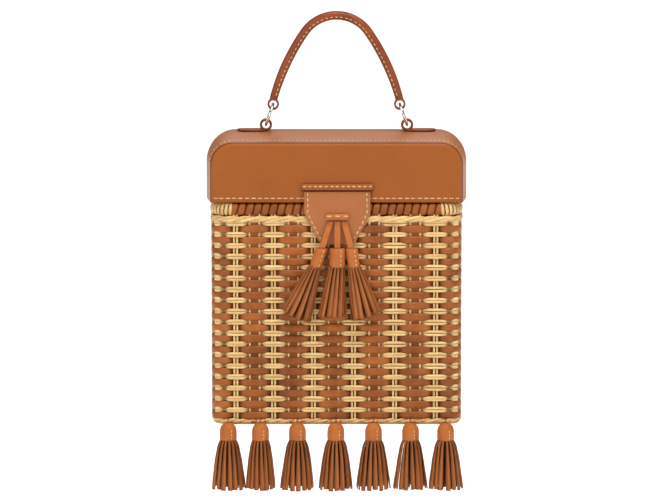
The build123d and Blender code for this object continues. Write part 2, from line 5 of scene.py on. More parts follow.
import bpy
import numpy as np
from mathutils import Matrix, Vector


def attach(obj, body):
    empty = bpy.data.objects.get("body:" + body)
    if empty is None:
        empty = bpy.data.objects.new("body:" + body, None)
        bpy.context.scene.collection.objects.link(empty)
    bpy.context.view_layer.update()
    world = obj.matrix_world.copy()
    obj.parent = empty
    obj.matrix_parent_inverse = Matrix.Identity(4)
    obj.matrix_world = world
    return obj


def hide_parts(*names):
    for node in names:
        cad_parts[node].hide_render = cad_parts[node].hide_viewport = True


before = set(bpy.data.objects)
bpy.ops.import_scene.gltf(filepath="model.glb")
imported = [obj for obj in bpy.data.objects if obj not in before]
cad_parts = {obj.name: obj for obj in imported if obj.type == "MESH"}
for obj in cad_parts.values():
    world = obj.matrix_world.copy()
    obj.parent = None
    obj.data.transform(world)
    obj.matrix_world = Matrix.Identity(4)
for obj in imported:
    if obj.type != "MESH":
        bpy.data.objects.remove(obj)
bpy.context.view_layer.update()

MM = 0.001
upright = np.array([0.0, 0.0, 1.0])
frontward = np.array([0.0, -1.0, 0.0])
rightward = np.array([1.0, 0.0, 0.0])

# Basket
basket_width = 183.0
basket_depth = 100.0
basket_corner = 14.0
wall_top = 154.0
leather_rows = 18
first_row_z = 7.03
row_pitch = 8.067
weft_height = 5.6
weft_thickness = 1.2
cane_radius = 1.04
wall_middle = 1.9
stake_spread = 1.12
stake_radius = 0.8
band_spread = 3.55
band_width = 6.0
corner_stake = 9.6

# Rim and lid
rim_height = 8.6
rim_depth = 8.6
wrap_pitch = 5.74
wrap_cover = 1.03
wrap_lean = 0.22
hinge_x = 46.0
hinge_slot = 9.6
lid_bottom = 163.3
lid_width = 182.4
lid_height = 43.4
lid_corner = 16.0
panel_thickness = 2.4
welt_thickness = 0.8
side_crown = 4.3
top_crown = 4.0
crown_top = lid_bottom + lid_height + top_crown

# Handle, tabs and rings
ring_x = 49.2
ring_radius = 8.1
ring_wire = 1.0
ring_tilt = radians(19.5)
loop_hole = 2.85
loop_width = 6.0
tab_length = 21.4
tab_loop_z = crown_top + 0.1 + 4.6
ring_z = tab_loop_z + ring_radius * cos(ring_tilt)
handle_top = ring_z + 72.9

# Clasp and charms
clasp_x = 0.6
keeper_bottom = lid_bottom + 9.0
flap_face = -52.1
keeper_length = 51.6
keeper_width = 5.0
charm_keeper_top = keeper_bottom - 16.7
charm_keeper_length = 16.6
charm_keeper_width = 4.4
flap_half_width = 24.0
flap_tip_half_width = 12.0
flap_straight = 15.5
flap_length = 38.7
charm_head_length = 13.8
charm_hang_y = -53.1
charm_hang_z = 150.3

# Lower tassels: middle and half the width at the foot
lower_tassels = [
    (-79.0, 12.3), (-55.5, 10.9), (-28.5, 12.4), (-0.5, 12.4), (27.0, 12.4), (54.0, 12.0), (79.6, 12.6),
]
tassel_y = -54.8
tassel_hang_z = 4.0
cap_radius = 6.3


def mesh_piece(name, points, faces, body, material, smooth=True, attributes=None):
    """One mesh object from points in millimetres and faces, riding on its body."""
    mesh = bpy.data.meshes.new(name)
    mesh.from_pydata((np.asarray(points) * MM).tolist(), [], faces)
    mesh.polygons.foreach_set("use_smooth", np.full(len(mesh.polygons), smooth))
    for key, values in (attributes or {}).items():
        mesh.attributes.new(key, "FLOAT", "POINT").data.foreach_set("value", np.asarray(values, np.float32))
    mesh.materials.append(material)
    piece = bpy.data.objects.new(name, mesh)
    bpy.context.scene.collection.objects.link(piece)
    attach(piece, body)
    return piece


def grid_faces(rows, columns, row_loop=False, column_loop=False, start=0):
    """Quads between neighbours of a grid of points; a loop also joins its last line to its first."""
    r = np.arange(rows if row_loop else rows - 1)[:, None]
    c = np.arange(columns if column_loop else columns - 1)[None, :]
    a = r * columns + c
    b = r * columns + (c + 1) % columns
    d = ((r + 1) % rows) * columns + c
    e = ((r + 1) % rows) * columns + (c + 1) % columns
    return (np.stack([a, b, e, d], -1).reshape(-1, 4) + start).tolist()


def walled(piece, thickness):
    """Gives a sheet its thickness, inwards from its face."""
    wall = piece.modifiers.new("wall", "SOLIDIFY")
    wall.thickness = thickness * MM
    wall.offset = -1
    return wall


def unit(v):
    """Vectors of length one along the last axis."""
    return v / np.maximum(np.linalg.norm(v, axis=-1, keepdims=True), 1e-9)


def points_at(x, y, z):
    """Points from their three coordinates, each of them a number or an array."""
    return np.stack(np.broadcast_arrays(x, y, z), -1)


def carried(paths, side, out, profile, loop=False):
    """Points and faces of a closed profile carried along each path: path + side * u + out * v, where the
    profile gives (u, v) and may change along the path. paths is strands x stations x 3."""
    paths = np.asarray(paths, float)
    strands, stations, _ = paths.shape
    profile = np.asarray(profile, float)
    if profile.ndim == 2:
        profile = profile[None, None]
    if profile.ndim == 3:
        profile = profile[None]
    profile = np.broadcast_to(profile, (strands, stations) + profile.shape[-2:])
    side = np.broadcast_to(side, paths.shape)[:, :, None]
    out = np.broadcast_to(out, paths.shape)[:, :, None]
    corners = profile.shape[2]
    points = paths[:, :, None] + side * profile[..., :1] + out * profile[..., 1:]
    faces = []
    for strand in range(strands):
        start = strand * stations * corners
        faces += grid_faces(stations, corners, loop, True, start)
        if not loop:
            faces.append(list(range(start + corners - 1, start - 1, -1)))
            last = start + (stations - 1) * corners
            faces.append(list(range(last, last + corners)))
    return points.reshape(-1, 3), faces


def circle(radius, sides, flatten=1.0):
    """A round or oval profile, anticlockwise, so that faces point outwards where side x out runs along."""
    a = np.arange(sides) * 2 * pi / sides
    return np.stack([radius * np.cos(a), radius * flatten * np.sin(a)], -1)


def strap_profile(width, thickness, edge=0.35):
    """A flat strap's section: eight points, its edges eased by a share of the thickness."""
    w, t = width / 2, thickness / 2
    e = edge * thickness
    right = [(w - e, -t), (w, -t + e), (w, t - e), (w - e, t)]
    return np.array(right + [(-u, -v) for u, v in right])


def strand_values(values, stations, corners):
    """One value a strand, repeated for each of its points."""
    return np.repeat(np.asarray(values, float), stations * corners)


def gather(parts):
    """Several (points, faces) parts as one."""
    points, faces, start = [], [], 0
    for p, f in parts:
        points.append(np.asarray(p))
        faces += [[i + start for i in face] for face in f]
        start += len(p)
    return np.concatenate(points), faces


def smoothstep(low, high, x):
    """0 below low, 1 above high, and an even S curve between."""
    t = np.clip((x - low) / (high - low), 0, 1)
    return t * t * (3 - 2 * t)


def strand_piece(name, body, material, paths, side, out, profile, loop=False, tone=None, dark=None):
    """Strands of one section as a piece. It stores how far along its strand each point lies, where it lies
    round the section, the strand's own tone and how much the crossing strands shade it."""
    paths = np.asarray(paths, float)
    points, faces = carried(paths, side, out, profile, loop)
    strands, stations, _ = paths.shape
    corners = len(points) // (strands * stations)
    steps = np.linalg.norm(np.diff(paths, axis=1), axis=-1)
    along = np.concatenate([np.zeros((strands, 1)), np.cumsum(steps, 1)], 1)
    along = along + 37.0 * np.arange(strands)[:, None]
    shade = np.broadcast_to(0.0 if dark is None else dark, (strands, stations))
    turn = np.sin(np.arange(corners) * 2 * pi / corners)
    values = {
        "along": np.repeat(along.ravel(), corners),
        "turn": np.tile(turn, strands * stations),
        "tone": strand_values(np.zeros(strands) if tone is None else tone, stations, corners),
        "dark": np.repeat(shade.ravel(), corners),
    }
    return mesh_piece(name, points, faces, body, material, attributes=values)


chance = np.random.default_rng(11)


def rgb(red, green, blue):
    """A colour of the screen, 0 to 255, as linear light."""
    c = np.array([red, green, blue]) / 255
    linear = np.where(c <= 0.04045, c / 12.92, ((c + 0.055) / 1.055) ** 2.4)
    return (*linear.tolist(), 1.0)


def node(tree, kind, **values):
    """A node with its inputs set by name; a socket given as a value is joined to it."""
    made = tree.nodes.new(kind)
    for key, value in values.items():
        if key in made.inputs:
            socket = made.inputs[key]
        elif key.isdigit() or key.startswith("_"):
            socket = made.inputs[int(key.strip("_"))]
        else:
            setattr(made, key, value)
            continue
        if isinstance(value, bpy.types.NodeSocket):
            tree.links.new(value, socket)
        else:
            socket.default_value = value
    return made


def math(tree, operation, a, b=0.0, clamp=False):
    """One step of arithmetic on values of the surface."""
    return node(tree, "ShaderNodeMath", operation=operation, use_clamp=clamp, _0=a, _1=b).outputs[0]


def noise(tree, place, scale, detail, roughness=0.5):
    """Noise at places, as a value."""
    values = {"Vector": place, "Scale": scale, "Detail": detail, "Roughness": roughness}
    return node(tree, "ShaderNodeTexNoise", **values).outputs["Fac"]


def mixed(tree, share, a, b, blend="MIX"):
    """Two colours mixed by a share of the second."""
    made = node(tree, "ShaderNodeMix", data_type="RGBA", blend_type=blend)
    for socket, value in ((made.inputs[0], share), (made.inputs[6], a), (made.inputs[7], b)):
        if isinstance(value, bpy.types.NodeSocket):
            tree.links.new(value, socket)
        else:
            socket.default_value = value
    return made.outputs[2]


def kept(tree, name):
    """A value that the mesh keeps for each of its points, zero where it keeps none."""
    return node(tree, "ShaderNodeAttribute", attribute_name=name).outputs["Fac"]


def effect(name, inputs, outputs):
    """A node group with its sockets, and its ends."""
    tree = bpy.data.node_groups.new(name, "ShaderNodeTree")
    for socket, kind, value in inputs:
        made = tree.interface.new_socket(name=socket, in_out="INPUT", socket_type="NodeSocket" + kind)
        made.default_value = value
    for socket, kind in outputs:
        tree.interface.new_socket(name=socket, in_out="OUTPUT", socket_type="NodeSocket" + kind)
    return tree, tree.nodes.new("NodeGroupInput").outputs, tree.nodes.new("NodeGroupOutput").inputs


def strand_shade():
    """Darkens a colour where crossing strands shade it, and shifts it by the strand's own tone."""
    tree, given, result = effect("strand_shade", [("Color", "Color", (1, 1, 1, 1))], [("Color", "Color")])
    toned = math(tree, "ADD", 1.0, kept(tree, "tone"))
    light = math(tree, "MULTIPLY", toned, math(tree, "SUBTRACT", 1.0, kept(tree, "dark")))
    grey = node(tree, "ShaderNodeCombineColor", _0=light, _1=light, _2=light)
    tree.links.new(mixed(tree, 1.0, given["Color"], grey.outputs[0], "MULTIPLY"), result["Color"])
    return tree


def leather_grain():
    """Fine pores and broad clouds of finished hide: the clouds mix two colours, the pores give the
    height."""
    tree, given, result = effect(
        "leather_grain",
        [
            ("Base", "Color", (1, 1, 1, 1)), ("Deep", "Color", (0, 0, 0, 1)),
            ("Grain", "Float", 900.0), ("Clouds", "Float", 0.5),
        ],
        [("Color", "Color"), ("Height", "Float"), ("Roughness", "Float")],
    )
    place = node(tree, "ShaderNodeTexCoord").outputs["Object"]
    cloud = noise(tree, place, 34.0, 5.0, 0.62)
    streak = noise(tree, place, 160.0, 3.0)
    pores = node(tree, "ShaderNodeTexVoronoi", Vector=place, Scale=given["Grain"], feature="SMOOTH_F1")
    fine = noise(tree, place, given["Grain"], 4.0)
    streaked = math(tree, "ADD", cloud, math(tree, "MULTIPLY", streak, 0.35))
    spread = node(tree, "ShaderNodeMapRange", Value=streaked, _1=0.45, _2=0.9)
    share = math(tree, "MULTIPLY", spread.outputs[0], given["Clouds"], True)
    tree.links.new(mixed(tree, share, given["Base"], given["Deep"]), result["Color"])
    relief = math(tree, "MULTIPLY", pores.outputs["Distance"], 0.7)
    tree.links.new(math(tree, "ADD", relief, math(tree, "MULTIPLY", fine, 0.5)), result["Height"])
    tree.links.new(math(tree, "ADD", math(tree, "MULTIPLY", cloud, 0.16), 0.36), result["Roughness"])
    return tree


def cane_fibre():
    """Long fibres of peeled cane: noise drawn out along the strand, with a few brown flecks."""
    tree, given, result = effect(
        "cane_fibre",
        [("Pale", "Color", (1, 1, 1, 1)), ("Brown", "Color", (0, 0, 0, 1)), ("Flecks", "Float", 0.5)],
        [("Color", "Color"), ("Height", "Float"), ("Roughness", "Float")],
    )
    along = math(tree, "MULTIPLY", kept(tree, "along"), 0.03)
    across = math(tree, "MULTIPLY", kept(tree, "turn"), 1.6)
    apart = math(tree, "MULTIPLY", kept(tree, "tone"), 40.0)
    place = node(tree, "ShaderNodeCombineXYZ", _0=along, _1=across, _2=apart).outputs[0]
    fibre = noise(tree, place, 2.6, 5.0, 0.7)
    blotch = noise(tree, place, 0.9, 2.0)
    spotted = math(tree, "ADD", fibre, math(tree, "MULTIPLY", blotch, 0.5))
    spread = node(tree, "ShaderNodeMapRange", Value=spotted, _1=0.62, _2=1.05)
    share = math(tree, "MULTIPLY", spread.outputs[0], given["Flecks"], True)
    tree.links.new(mixed(tree, share, given["Pale"], given["Brown"]), result["Color"])
    tree.links.new(fibre, result["Height"])
    tree.links.new(math(tree, "ADD", math(tree, "MULTIPLY", fibre, 0.2), 0.32), result["Roughness"])
    return tree


shade_group = strand_shade()
leather_group = leather_grain()
cane_group = cane_fibre()


def placed(tree, group, **values):
    """A node group in a material, with its own values."""
    made = tree.nodes.new("ShaderNodeGroup")
    made.node_tree = group
    for key, value in values.items():
        if isinstance(value, bpy.types.NodeSocket):
            tree.links.new(value, made.inputs[key])
        else:
            made.inputs[key].default_value = value
    return made.outputs


def surface(name, colour, height=None, depth=0.2, roughness=0.5, **values):
    """A material: a shader with its colour, the height of its surface, its gloss and its constant values."""
    material = bpy.data.materials[name]
    tree = material.node_tree
    shader = tree.nodes["Principled BSDF"]
    shaded = placed(tree, shade_group, Color=colour)["Color"]
    tree.links.new(shaded, shader.inputs["Base Color"])
    if isinstance(roughness, bpy.types.NodeSocket):
        tree.links.new(roughness, shader.inputs["Roughness"])
    else:
        shader.inputs["Roughness"].default_value = roughness
    if height is not None:
        bump = node(tree, "ShaderNodeBump", Strength=depth, Distance=0.0004, Height=height)
        tree.links.new(bump.outputs[0], shader.inputs["Normal"])
    for key, value in values.items():
        shader.inputs[key.replace("_", " ")].default_value = value
    return material


def new_tree(name):
    """An empty material's nodes."""
    material = bpy.data.materials.new(name)
    material.use_nodes = True
    return material.node_tree


def leather(name, base, deep, grain=900.0, clouds=0.5, depth=0.25, coat=0.0, gloss=0.28):
    """Finished leather in two tones."""
    tree = new_tree(name)
    grained = placed(tree, leather_group, Base=base, Deep=deep, Grain=grain, Clouds=clouds)
    return surface(
        name, grained["Color"], grained["Height"], depth, grained["Roughness"],
        Coat_Weight=coat, Coat_Roughness=0.4, Specular_IOR_Level=gloss,
    )


def cane(name, pale, brown, flecks):
    """Peeled cane or waxed cord, with fibres along each strand."""
    tree = new_tree(name)
    fibres = placed(tree, cane_group, Pale=pale, Brown=brown, Flecks=flecks)
    return surface(
        name, fibres["Color"], fibres["Height"], 0.5, fibres["Roughness"],
        Coat_Weight=0.1, Coat_Roughness=0.35, Specular_IOR_Level=0.35,
    )


panel_leather = leather("panel_leather", rgb(166, 90, 30), rgb(144, 74, 21), clouds=0.35)
# top_leather is a paler copy of the panel leather: its lighter colour is painted light, for light falling
# from above on the lid's top; the clasp flap shares it
top_leather = leather("top_leather", rgb(182, 108, 52), rgb(160, 88, 38), clouds=0.4, gloss=0.5)
strip_leather = leather(
    "strip_leather", rgb(186, 104, 42), rgb(120, 60, 20), grain=700.0, clouds=0.9, depth=0.35
)
tassel_leather = leather("tassel_leather", rgb(204, 118, 56), rgb(170, 90, 36), grain=700.0, clouds=0.7)
handle_leather = leather("handle_leather", rgb(158, 76, 32), rgb(104, 38, 10), clouds=0.8, coat=0.25)
edge_leather = leather("edge_leather", rgb(96, 38, 14), rgb(62, 20, 7), clouds=0.6)
# lining: a lining cloth whose very dark colour is also painted shade, for the dark seen through the gaps of
# the weave
lining_cloth_in_painted_shade = leather("lining_cloth_in_painted_shade", rgb(58, 32, 18), rgb(38, 20, 11), grain=1400.0, clouds=0.8)
base_board_finish = leather("base_board_finish", rgb(96, 62, 36), rgb(66, 40, 22), grain=500.0)
pale_cane = cane("pale_cane", rgb(252, 216, 150), rgb(196, 128, 58), 0.8)
gold_cane = cane("gold_cane", rgb(246, 204, 132), rgb(184, 116, 48), 0.8)
cream_thread = cane("cream_thread", rgb(240, 208, 158), rgb(206, 160, 104), 0.5)
brass_tree = new_tree("brass")
brass_cloud = node(brass_tree, "ShaderNodeTexNoise", Scale=240.0, Detail=4.0)
brass_place = node(brass_tree, "ShaderNodeTexCoord")
brass_tree.links.new(brass_place.outputs["Object"], brass_cloud.inputs["Vector"])
brass = surface(
    "brass",
    mixed(brass_tree, brass_cloud.outputs["Fac"], rgb(224, 168, 72), rgb(190, 130, 44)),
    brass_cloud.outputs["Fac"],
    0.05,
    math(brass_tree, "ADD", math(brass_tree, "MULTIPLY", brass_cloud.outputs["Fac"], 0.12), 0.2),
    Metallic=1.0,
)

# Wall: where the stakes stand on each face
front_pairs = np.array([-73.4, -45.9, -16.8, 12.4, 42.4, 72.2])
front_bands = (front_pairs[1:] + front_pairs[:-1]) / 2
side_pairs = np.array([-31.0, 0.0, 31.0])
side_bands = (side_pairs[1:] + side_pairs[:-1]) / 2
half_x = basket_width / 2 - basket_corner
half_y = basket_depth / 2 - basket_corner


def basket_line(inset):
    """Breaks of a line round the basket: distance, middle of the bend and heading of the wall there."""
    quarter = (basket_corner - inset) * pi / 2
    runs = [0, half_x, quarter, 2 * half_y, quarter, 2 * half_x, quarter, 2 * half_y, quarter, half_x]
    return (
        np.cumsum(runs),
        np.array([0, 1, 1, 1, 1, -1, -1, -1, -1, 0]) * half_x,
        np.array([-1, -1, -1, 1, 1, 1, 1, -1, -1, -1]) * half_y,
        np.radians([-90, -90, 0, 0, 90, 90, 180, 180, 270, 270]),
    )


def round_basket(s, z, out, inset=wall_middle):
    """Points a distance s round the basket from the middle of the front, out from the wall by out, at z,
    with the wall's outward direction. The wall is straight runs joined by quarter circles."""
    s, z, out = np.broadcast_arrays(s, z, out)
    line, middle_x, middle_y, heading = basket_line(inset)
    s = np.mod(s, line[-1])
    turn = np.interp(s, line, heading)
    facing = points_at(np.cos(turn), np.sin(turn), 0.0)
    radius = basket_corner - inset + out
    x = np.interp(s, line, middle_x) + facing[..., 0] * radius
    y = np.interp(s, line, middle_y) + facing[..., 1] * radius
    return points_at(x, y, z), facing


def round_places(front, side):
    """Distances round the basket of stakes given by x on the front and back and by y on the sides."""
    line = basket_line(wall_middle)[0]
    right = line[2] + half_y
    back = line[4] + half_x
    left = line[6] + half_y
    return np.concatenate([front % line[-1], right + side, back + front, left + side])


girth = basket_line(wall_middle)[0][-1]
pair_places = round_places(front_pairs, side_pairs)
band_places = round_places(front_bands, side_bands)
edge_x, edge_y = basket_width / 2 - corner_stake, basket_depth / 2 - corner_stake
corner_places = round_places(np.array([-edge_x, edge_x]), np.array([-edge_y, edge_y]))


def from_nearest(s, places):
    """Distance along the wall to the nearest of the places."""
    apart = np.abs(np.mod(s[..., None] - places + girth / 2, girth) - girth / 2)
    return apart.min(-1)


# Leather wefts: flat strips that pass over the bands and dip behind the paired stakes
weft_s = np.linspace(0, girth, 288, endpoint=False)[None, :]
row = np.arange(leather_rows)[:, None]
sway = 0.22 * np.sin(weft_s * 2 * pi / girth * (2 + row % 3) + row * 2.4)
to_pair = from_nearest(weft_s, pair_places)
to_band = from_nearest(weft_s, band_places)
to_corner = from_nearest(weft_s, corner_places)
wall_line = basket_line(wall_middle)[0]
bend_places = (wall_line[[1, 3, 5, 7]] + wall_line[[2, 4, 6, 8]]) / 2
to_bend = from_nearest(weft_s, bend_places)
at_bend = 1 - smoothstep(4.0, 10.0, to_bend)
behind = 1 - smoothstep(1.9, 5.8, to_pair)
narrowed = 1 - smoothstep(1.5, 9.5, to_pair)
weft_out = 1.2 - 2.7 * behind + 0.3 * (1 - smoothstep(0, 9, to_band))
weft_path, facing = round_basket(weft_s, first_row_z + row_pitch * row + sway, weft_out)
weft_section = strap_profile(1.0, 1.0, 0.3)[None, None] * np.array([weft_height, weft_thickness])
weft_swell = 1 - 0.34 * narrowed + 0.05 * np.sin(row + weft_s * 0.11)
weft_section = weft_section * np.stack([weft_swell, np.ones_like(weft_swell)], -1)[:, :, None]
# painted shade: dark darkens each leather strip beside the paired stakes, for the shadow where it dips
# behind them
leather_wefts = strand_piece(
    "leather_wefts", "basket", strip_leather, weft_path, upright, facing, weft_section, loop=True,
    tone=chance.uniform(-0.07, 0.07, leather_rows), dark=0.62 * (1 - smoothstep(1.6, 6.5, to_pair)),
)
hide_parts("wall_weave")

# Cane wefts: two canes side by side, over the paired stakes and behind the bands
cane_row = np.arange(2 * leather_rows)[:, None]
upper = np.where(cane_row % 2 == 0, 1.0, -1.0)
cane_behind = np.maximum(1 - smoothstep(4.3, 8.2, to_band), 1 - smoothstep(0.8, 3.4, to_corner))
cane_z = first_row_z + row_pitch * (cane_row // 2 + 0.5) + upper * (0.98 - 0.55 * cane_behind)
cane_z = cane_z + 0.2 * np.sin(weft_s * 2 * pi / girth * (1 + cane_row % 4) + cane_row * 1.7)
cane_path, facing = round_basket(weft_s, cane_z, 0.85 - 1.8 * cane_behind + 0.35 * at_bend)
cane_swell = 1 - 0.16 * cane_behind + 0.28 * at_bend
cane_section = circle(cane_radius, 6)[None, None] * cane_swell[:, :, None, None]
# painted shade: dark darkens each cane where it goes behind the bands and the corner stakes
cane_wefts = strand_piece(
    "cane_wefts", "basket", pale_cane, cane_path, upright, facing, cane_section, loop=True,
    tone=chance.uniform(-0.09, 0.05, 2 * leather_rows), dark=0.6 * cane_behind,
)

# Stakes: thin canes in pairs before the leather wefts, and bands of leather before the cane wefts
stake_z = np.linspace(1.2, wall_top + 1.0, 134)[None, :]
weave_wave = np.cos((stake_z - first_row_z) * 2 * pi / row_pitch)
across = np.array([-1.0, 1.0])
paired_canes = (pair_places[:, None] + across * stake_spread).ravel()
band_canes = (band_places[:, None] + across * band_spread).ravel()
stakes = np.concatenate([paired_canes, band_canes])
over_leather = np.repeat([1.0, -1.0], [len(paired_canes), len(band_canes)])[:, None]
stake_path, facing = round_basket(stakes[:, None], stake_z, 0.05 + 0.42 * over_leather * weave_wave)
along_wall = np.cross(facing, upright)
# painted shade: the stake canes darken where they dip behind the wefts
stake_canes = strand_piece(
    "stake_canes", "basket", pale_cane, stake_path, along_wall, facing, circle(stake_radius, 6),
    tone=chance.uniform(-0.12, 0.05, len(stakes)), dark=np.clip(-0.5 * over_leather * weave_wave, 0, 1),
)
band_path, facing = round_basket(band_places[:, None], stake_z, -0.12 - 0.3 * weave_wave)
# painted shade: the leather bands darken where they dip behind the leather wefts
stake_bands = strand_piece(
    "stake_bands", "basket", strip_leather, band_path, np.cross(facing, upright), facing,
    strap_profile(band_width, 1.1), tone=chance.uniform(-0.2, -0.1, len(band_places)),
    dark=np.clip(0.45 * weave_wave, 0, 1),
)


def twisted(name, z, out, strands, strand_radius, swing, turns, material, samples=720):
    """Strands twisted about one line round the basket, each swinging in and out and up and down."""
    s = np.linspace(0, girth, samples, endpoint=False)[None, :]
    phase = s / girth * turns * 2 * pi + np.arange(strands)[:, None] * 2 * pi / strands
    path, out_way = round_basket(s, z + swing * np.sin(phase), out + swing * 0.7 * np.cos(phase))
    # painted shade: each strand darkens where its twist turns it in towards the wall
    dark = 0.35 * np.clip(-np.cos(phase), 0, 1)
    return strand_piece(
        name, "basket", material, path, upright, out_way, circle(strand_radius, 6, 0.85), loop=True,
        tone=chance.uniform(-0.06, 0.05, strands), dark=dark,
    )


top_twist = twisted("top_twist", wall_top - 2.6, 0.75, 3, 1.25, 1.25, 17, pale_cane)
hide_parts("top_wale")
bottom_twist = twisted("bottom_twist", 3.3, 0.65, 2, 0.85, 0.75, 30, pale_cane, 900)
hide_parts("bottom_wale")

# Border round the base: one cane whipped closely with another, so its outside is a row of turns
border_turns = 430
border_s = np.linspace(0, girth, border_turns * 4, endpoint=False)[None, :]
border_path, facing = round_basket(border_s, 1.25, -0.65)
turn_swell = 1 + 0.13 * np.abs(np.sin(border_s / girth * border_turns * pi))
border_section = circle(1.08, 8)[None, None] * turn_swell[:, :, None, None]
# painted shade: the whipping darkens in the grooves between its turns
base_whipping = strand_piece(
    "base_whipping", "basket", gold_cane, border_path, upright, facing, border_section, loop=True,
    dark=0.55 * (1 - np.abs(np.sin(border_s / girth * border_turns * pi))),
)
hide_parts("base_border")


def rounded_square(width, height, radius, samples):
    """A closed outline of four straight sides and four quarter circles, from the middle of the right side,
    anticlockwise, evenly along its length, with its outward directions."""
    hx, hy = width / 2 - radius, height / 2 - radius
    quarter = radius * pi / 2
    line = np.cumsum([0, hy, quarter, 2 * hx, quarter, 2 * hy, quarter, 2 * hx, quarter, hy])
    at = np.linspace(0, line[-1], samples, endpoint=False)
    turn = np.interp(at, line, np.radians([0, 0, 90, 90, 180, 180, 270, 270, 360, 360]))
    x = np.interp(at, line, np.array([1, 1, 1, -1, -1, -1, -1, 1, 1, 1]) * hx)
    y = np.interp(at, line, np.array([0, 1, 1, 1, 1, -1, -1, -1, -1, 0]) * hy)
    normal = np.stack([np.cos(turn), np.sin(turn)], -1)
    return np.stack([x, y], -1) + normal * radius, normal


rim_z = wall_top + rim_height / 2
rim_x = basket_width / 2 - rim_depth / 2
rim_y = basket_depth / 2 - rim_depth / 2
rim_bend = basket_corner - rim_depth / 2


def wrap_turns(middle, along, across, length, skipped=()):
    """Turns of a strap round a straight bar, each a closed band: across its width the band swells from the
    bar and falls back, and the whole turn leans so that its front slants."""
    sides, stations_across = 22, 7
    outline, normal = rounded_square(rim_depth - 0.9, rim_height - 0.9, 2.9, sides)
    count = int(round(length / wrap_pitch))
    starts = (np.arange(count) + 0.5) * length / count - length / 2
    starts = starts[[not any(low < s < high for low, high in skipped) for s in starts]]
    width = np.linspace(-0.5, 0.5, stations_across)
    swell = 0.52 * np.sqrt(np.clip(1 - (2.06 * width) ** 2, 0, 1))
    swell[[0, -1]] = -0.5
    loops = outline[None, :, None] + normal[None, :, None] * swell[None, None, :, None]
    loops = np.broadcast_to(loops, (len(starts),) + loops.shape[1:])
    shift = starts[:, None, None] + width[None, None, :] * wrap_pitch * wrap_cover
    shift = shift + loops[..., 1] * wrap_lean
    points = np.asarray(middle) + loops[..., :1] * np.asarray(across) + loops[..., 1:] * upright
    points = points + shift[..., None] * np.asarray(along)
    tone = np.repeat(chance.uniform(-0.12, 0.06, len(starts)), sides * stations_across)
    # painted shade: each turn darkens towards its two sides, where it falls back against the bar
    shade = np.tile(0.75 * np.abs(2 * width) ** 6, len(starts) * sides)
    faces = []
    for turn in range(len(starts)):
        faces += grid_faces(sides, stations_across, True, False, turn * sides * stations_across)
    return points.reshape(-1, 3), faces, tone, shade


def wrap_piece(side, middle, along, across, length, skipped=()):
    """The turns of one side of the rim as a piece in place of its node."""
    points, faces, tone, shade = wrap_turns(middle, along, across, length, skipped)
    values = {"tone": tone, "dark": shade}
    piece = mesh_piece(f"{side}_whipping", points, faces, "basket", strip_leather, attributes=values)
    walled(piece, 0.3)
    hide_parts(f"rim_wrap_{side}")


front_run = 2 * half_x
side_run = 2 * half_y
hinge_slots = [(-hinge_x - hinge_slot, -hinge_x + hinge_slot), (hinge_x - hinge_slot, hinge_x + hinge_slot)]
wrap_piece("front", (0, -rim_y, rim_z), (1, 0, 0), (0, -1, 0), front_run)
wrap_piece("back", (0, rim_y, rim_z), (-1, 0, 0), (0, 1, 0), front_run, hinge_slots)
wrap_piece("right", (rim_x, 0, rim_z), (0, 1, 0), (1, 0, 0), side_run)
wrap_piece("left", (-rim_x, 0, rim_z), (0, -1, 0), (-1, 0, 0), side_run)

# Corners of the rim, bound with thin cane: closed loops of cane fanned round each corner
binding_turns = 8
binding_outline = rounded_square(rim_depth - 1.0, rim_height - 1.2, 3.4, 24)[0]
fan = np.linspace(-0.02, 1.02, binding_turns)
loops = []
for corner_x, corner_y, heading in ((1, -1, -pi / 2), (1, 1, 0), (-1, 1, pi / 2), (-1, -1, pi)):
    angle = heading + np.clip(fan, 0, 1) * pi / 2
    beyond = (fan - np.clip(fan, 0, 1)) * rim_bend * 2.2
    outward = points_at(np.cos(angle), np.sin(angle), 0.0)[:, None]
    sideways = points_at(-np.sin(angle), np.cos(angle), 0.0)[:, None]
    centre = np.array([corner_x * half_x, corner_y * half_y, rim_z])
    swell = binding_outline[None, :, :1] + rim_bend
    skew = 0.9 * binding_outline[None, :, 1:] / rim_height * (1 if corner_x * corner_y > 0 else -1)
    loop = centre + outward * swell + upright * binding_outline[None, :, 1:]
    loops.append(loop + sideways * (beyond[:, None, None] + skew))
binding_path = np.concatenate(loops)
middle = binding_path.mean(1, keepdims=True)
binding_out = unit(binding_path - middle)
forward = unit(np.roll(binding_path, -1, 1) - np.roll(binding_path, 1, 1))
corner_bindings = strand_piece(
    "corner_bindings", "basket", pale_cane, binding_path, unit(np.cross(binding_out, forward)), binding_out,
    circle(1.15, 8, 0.75) + np.array([0.0, 0.25]), loop=True,
    tone=chance.uniform(-0.14, 0.06, 4 * binding_turns),
)
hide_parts("rim_corner_bindings")


def stations(path, distances):
    """Points at given distances along a line of points, and the line's whole length."""
    path = np.asarray(path, float)
    line = np.concatenate([[0], np.cumsum(np.linalg.norm(np.diff(path, axis=0), axis=1))])
    at = np.stack([np.interp(distances, line, path[:, k]) for k in range(path.shape[1])], -1)
    return at, line[-1]


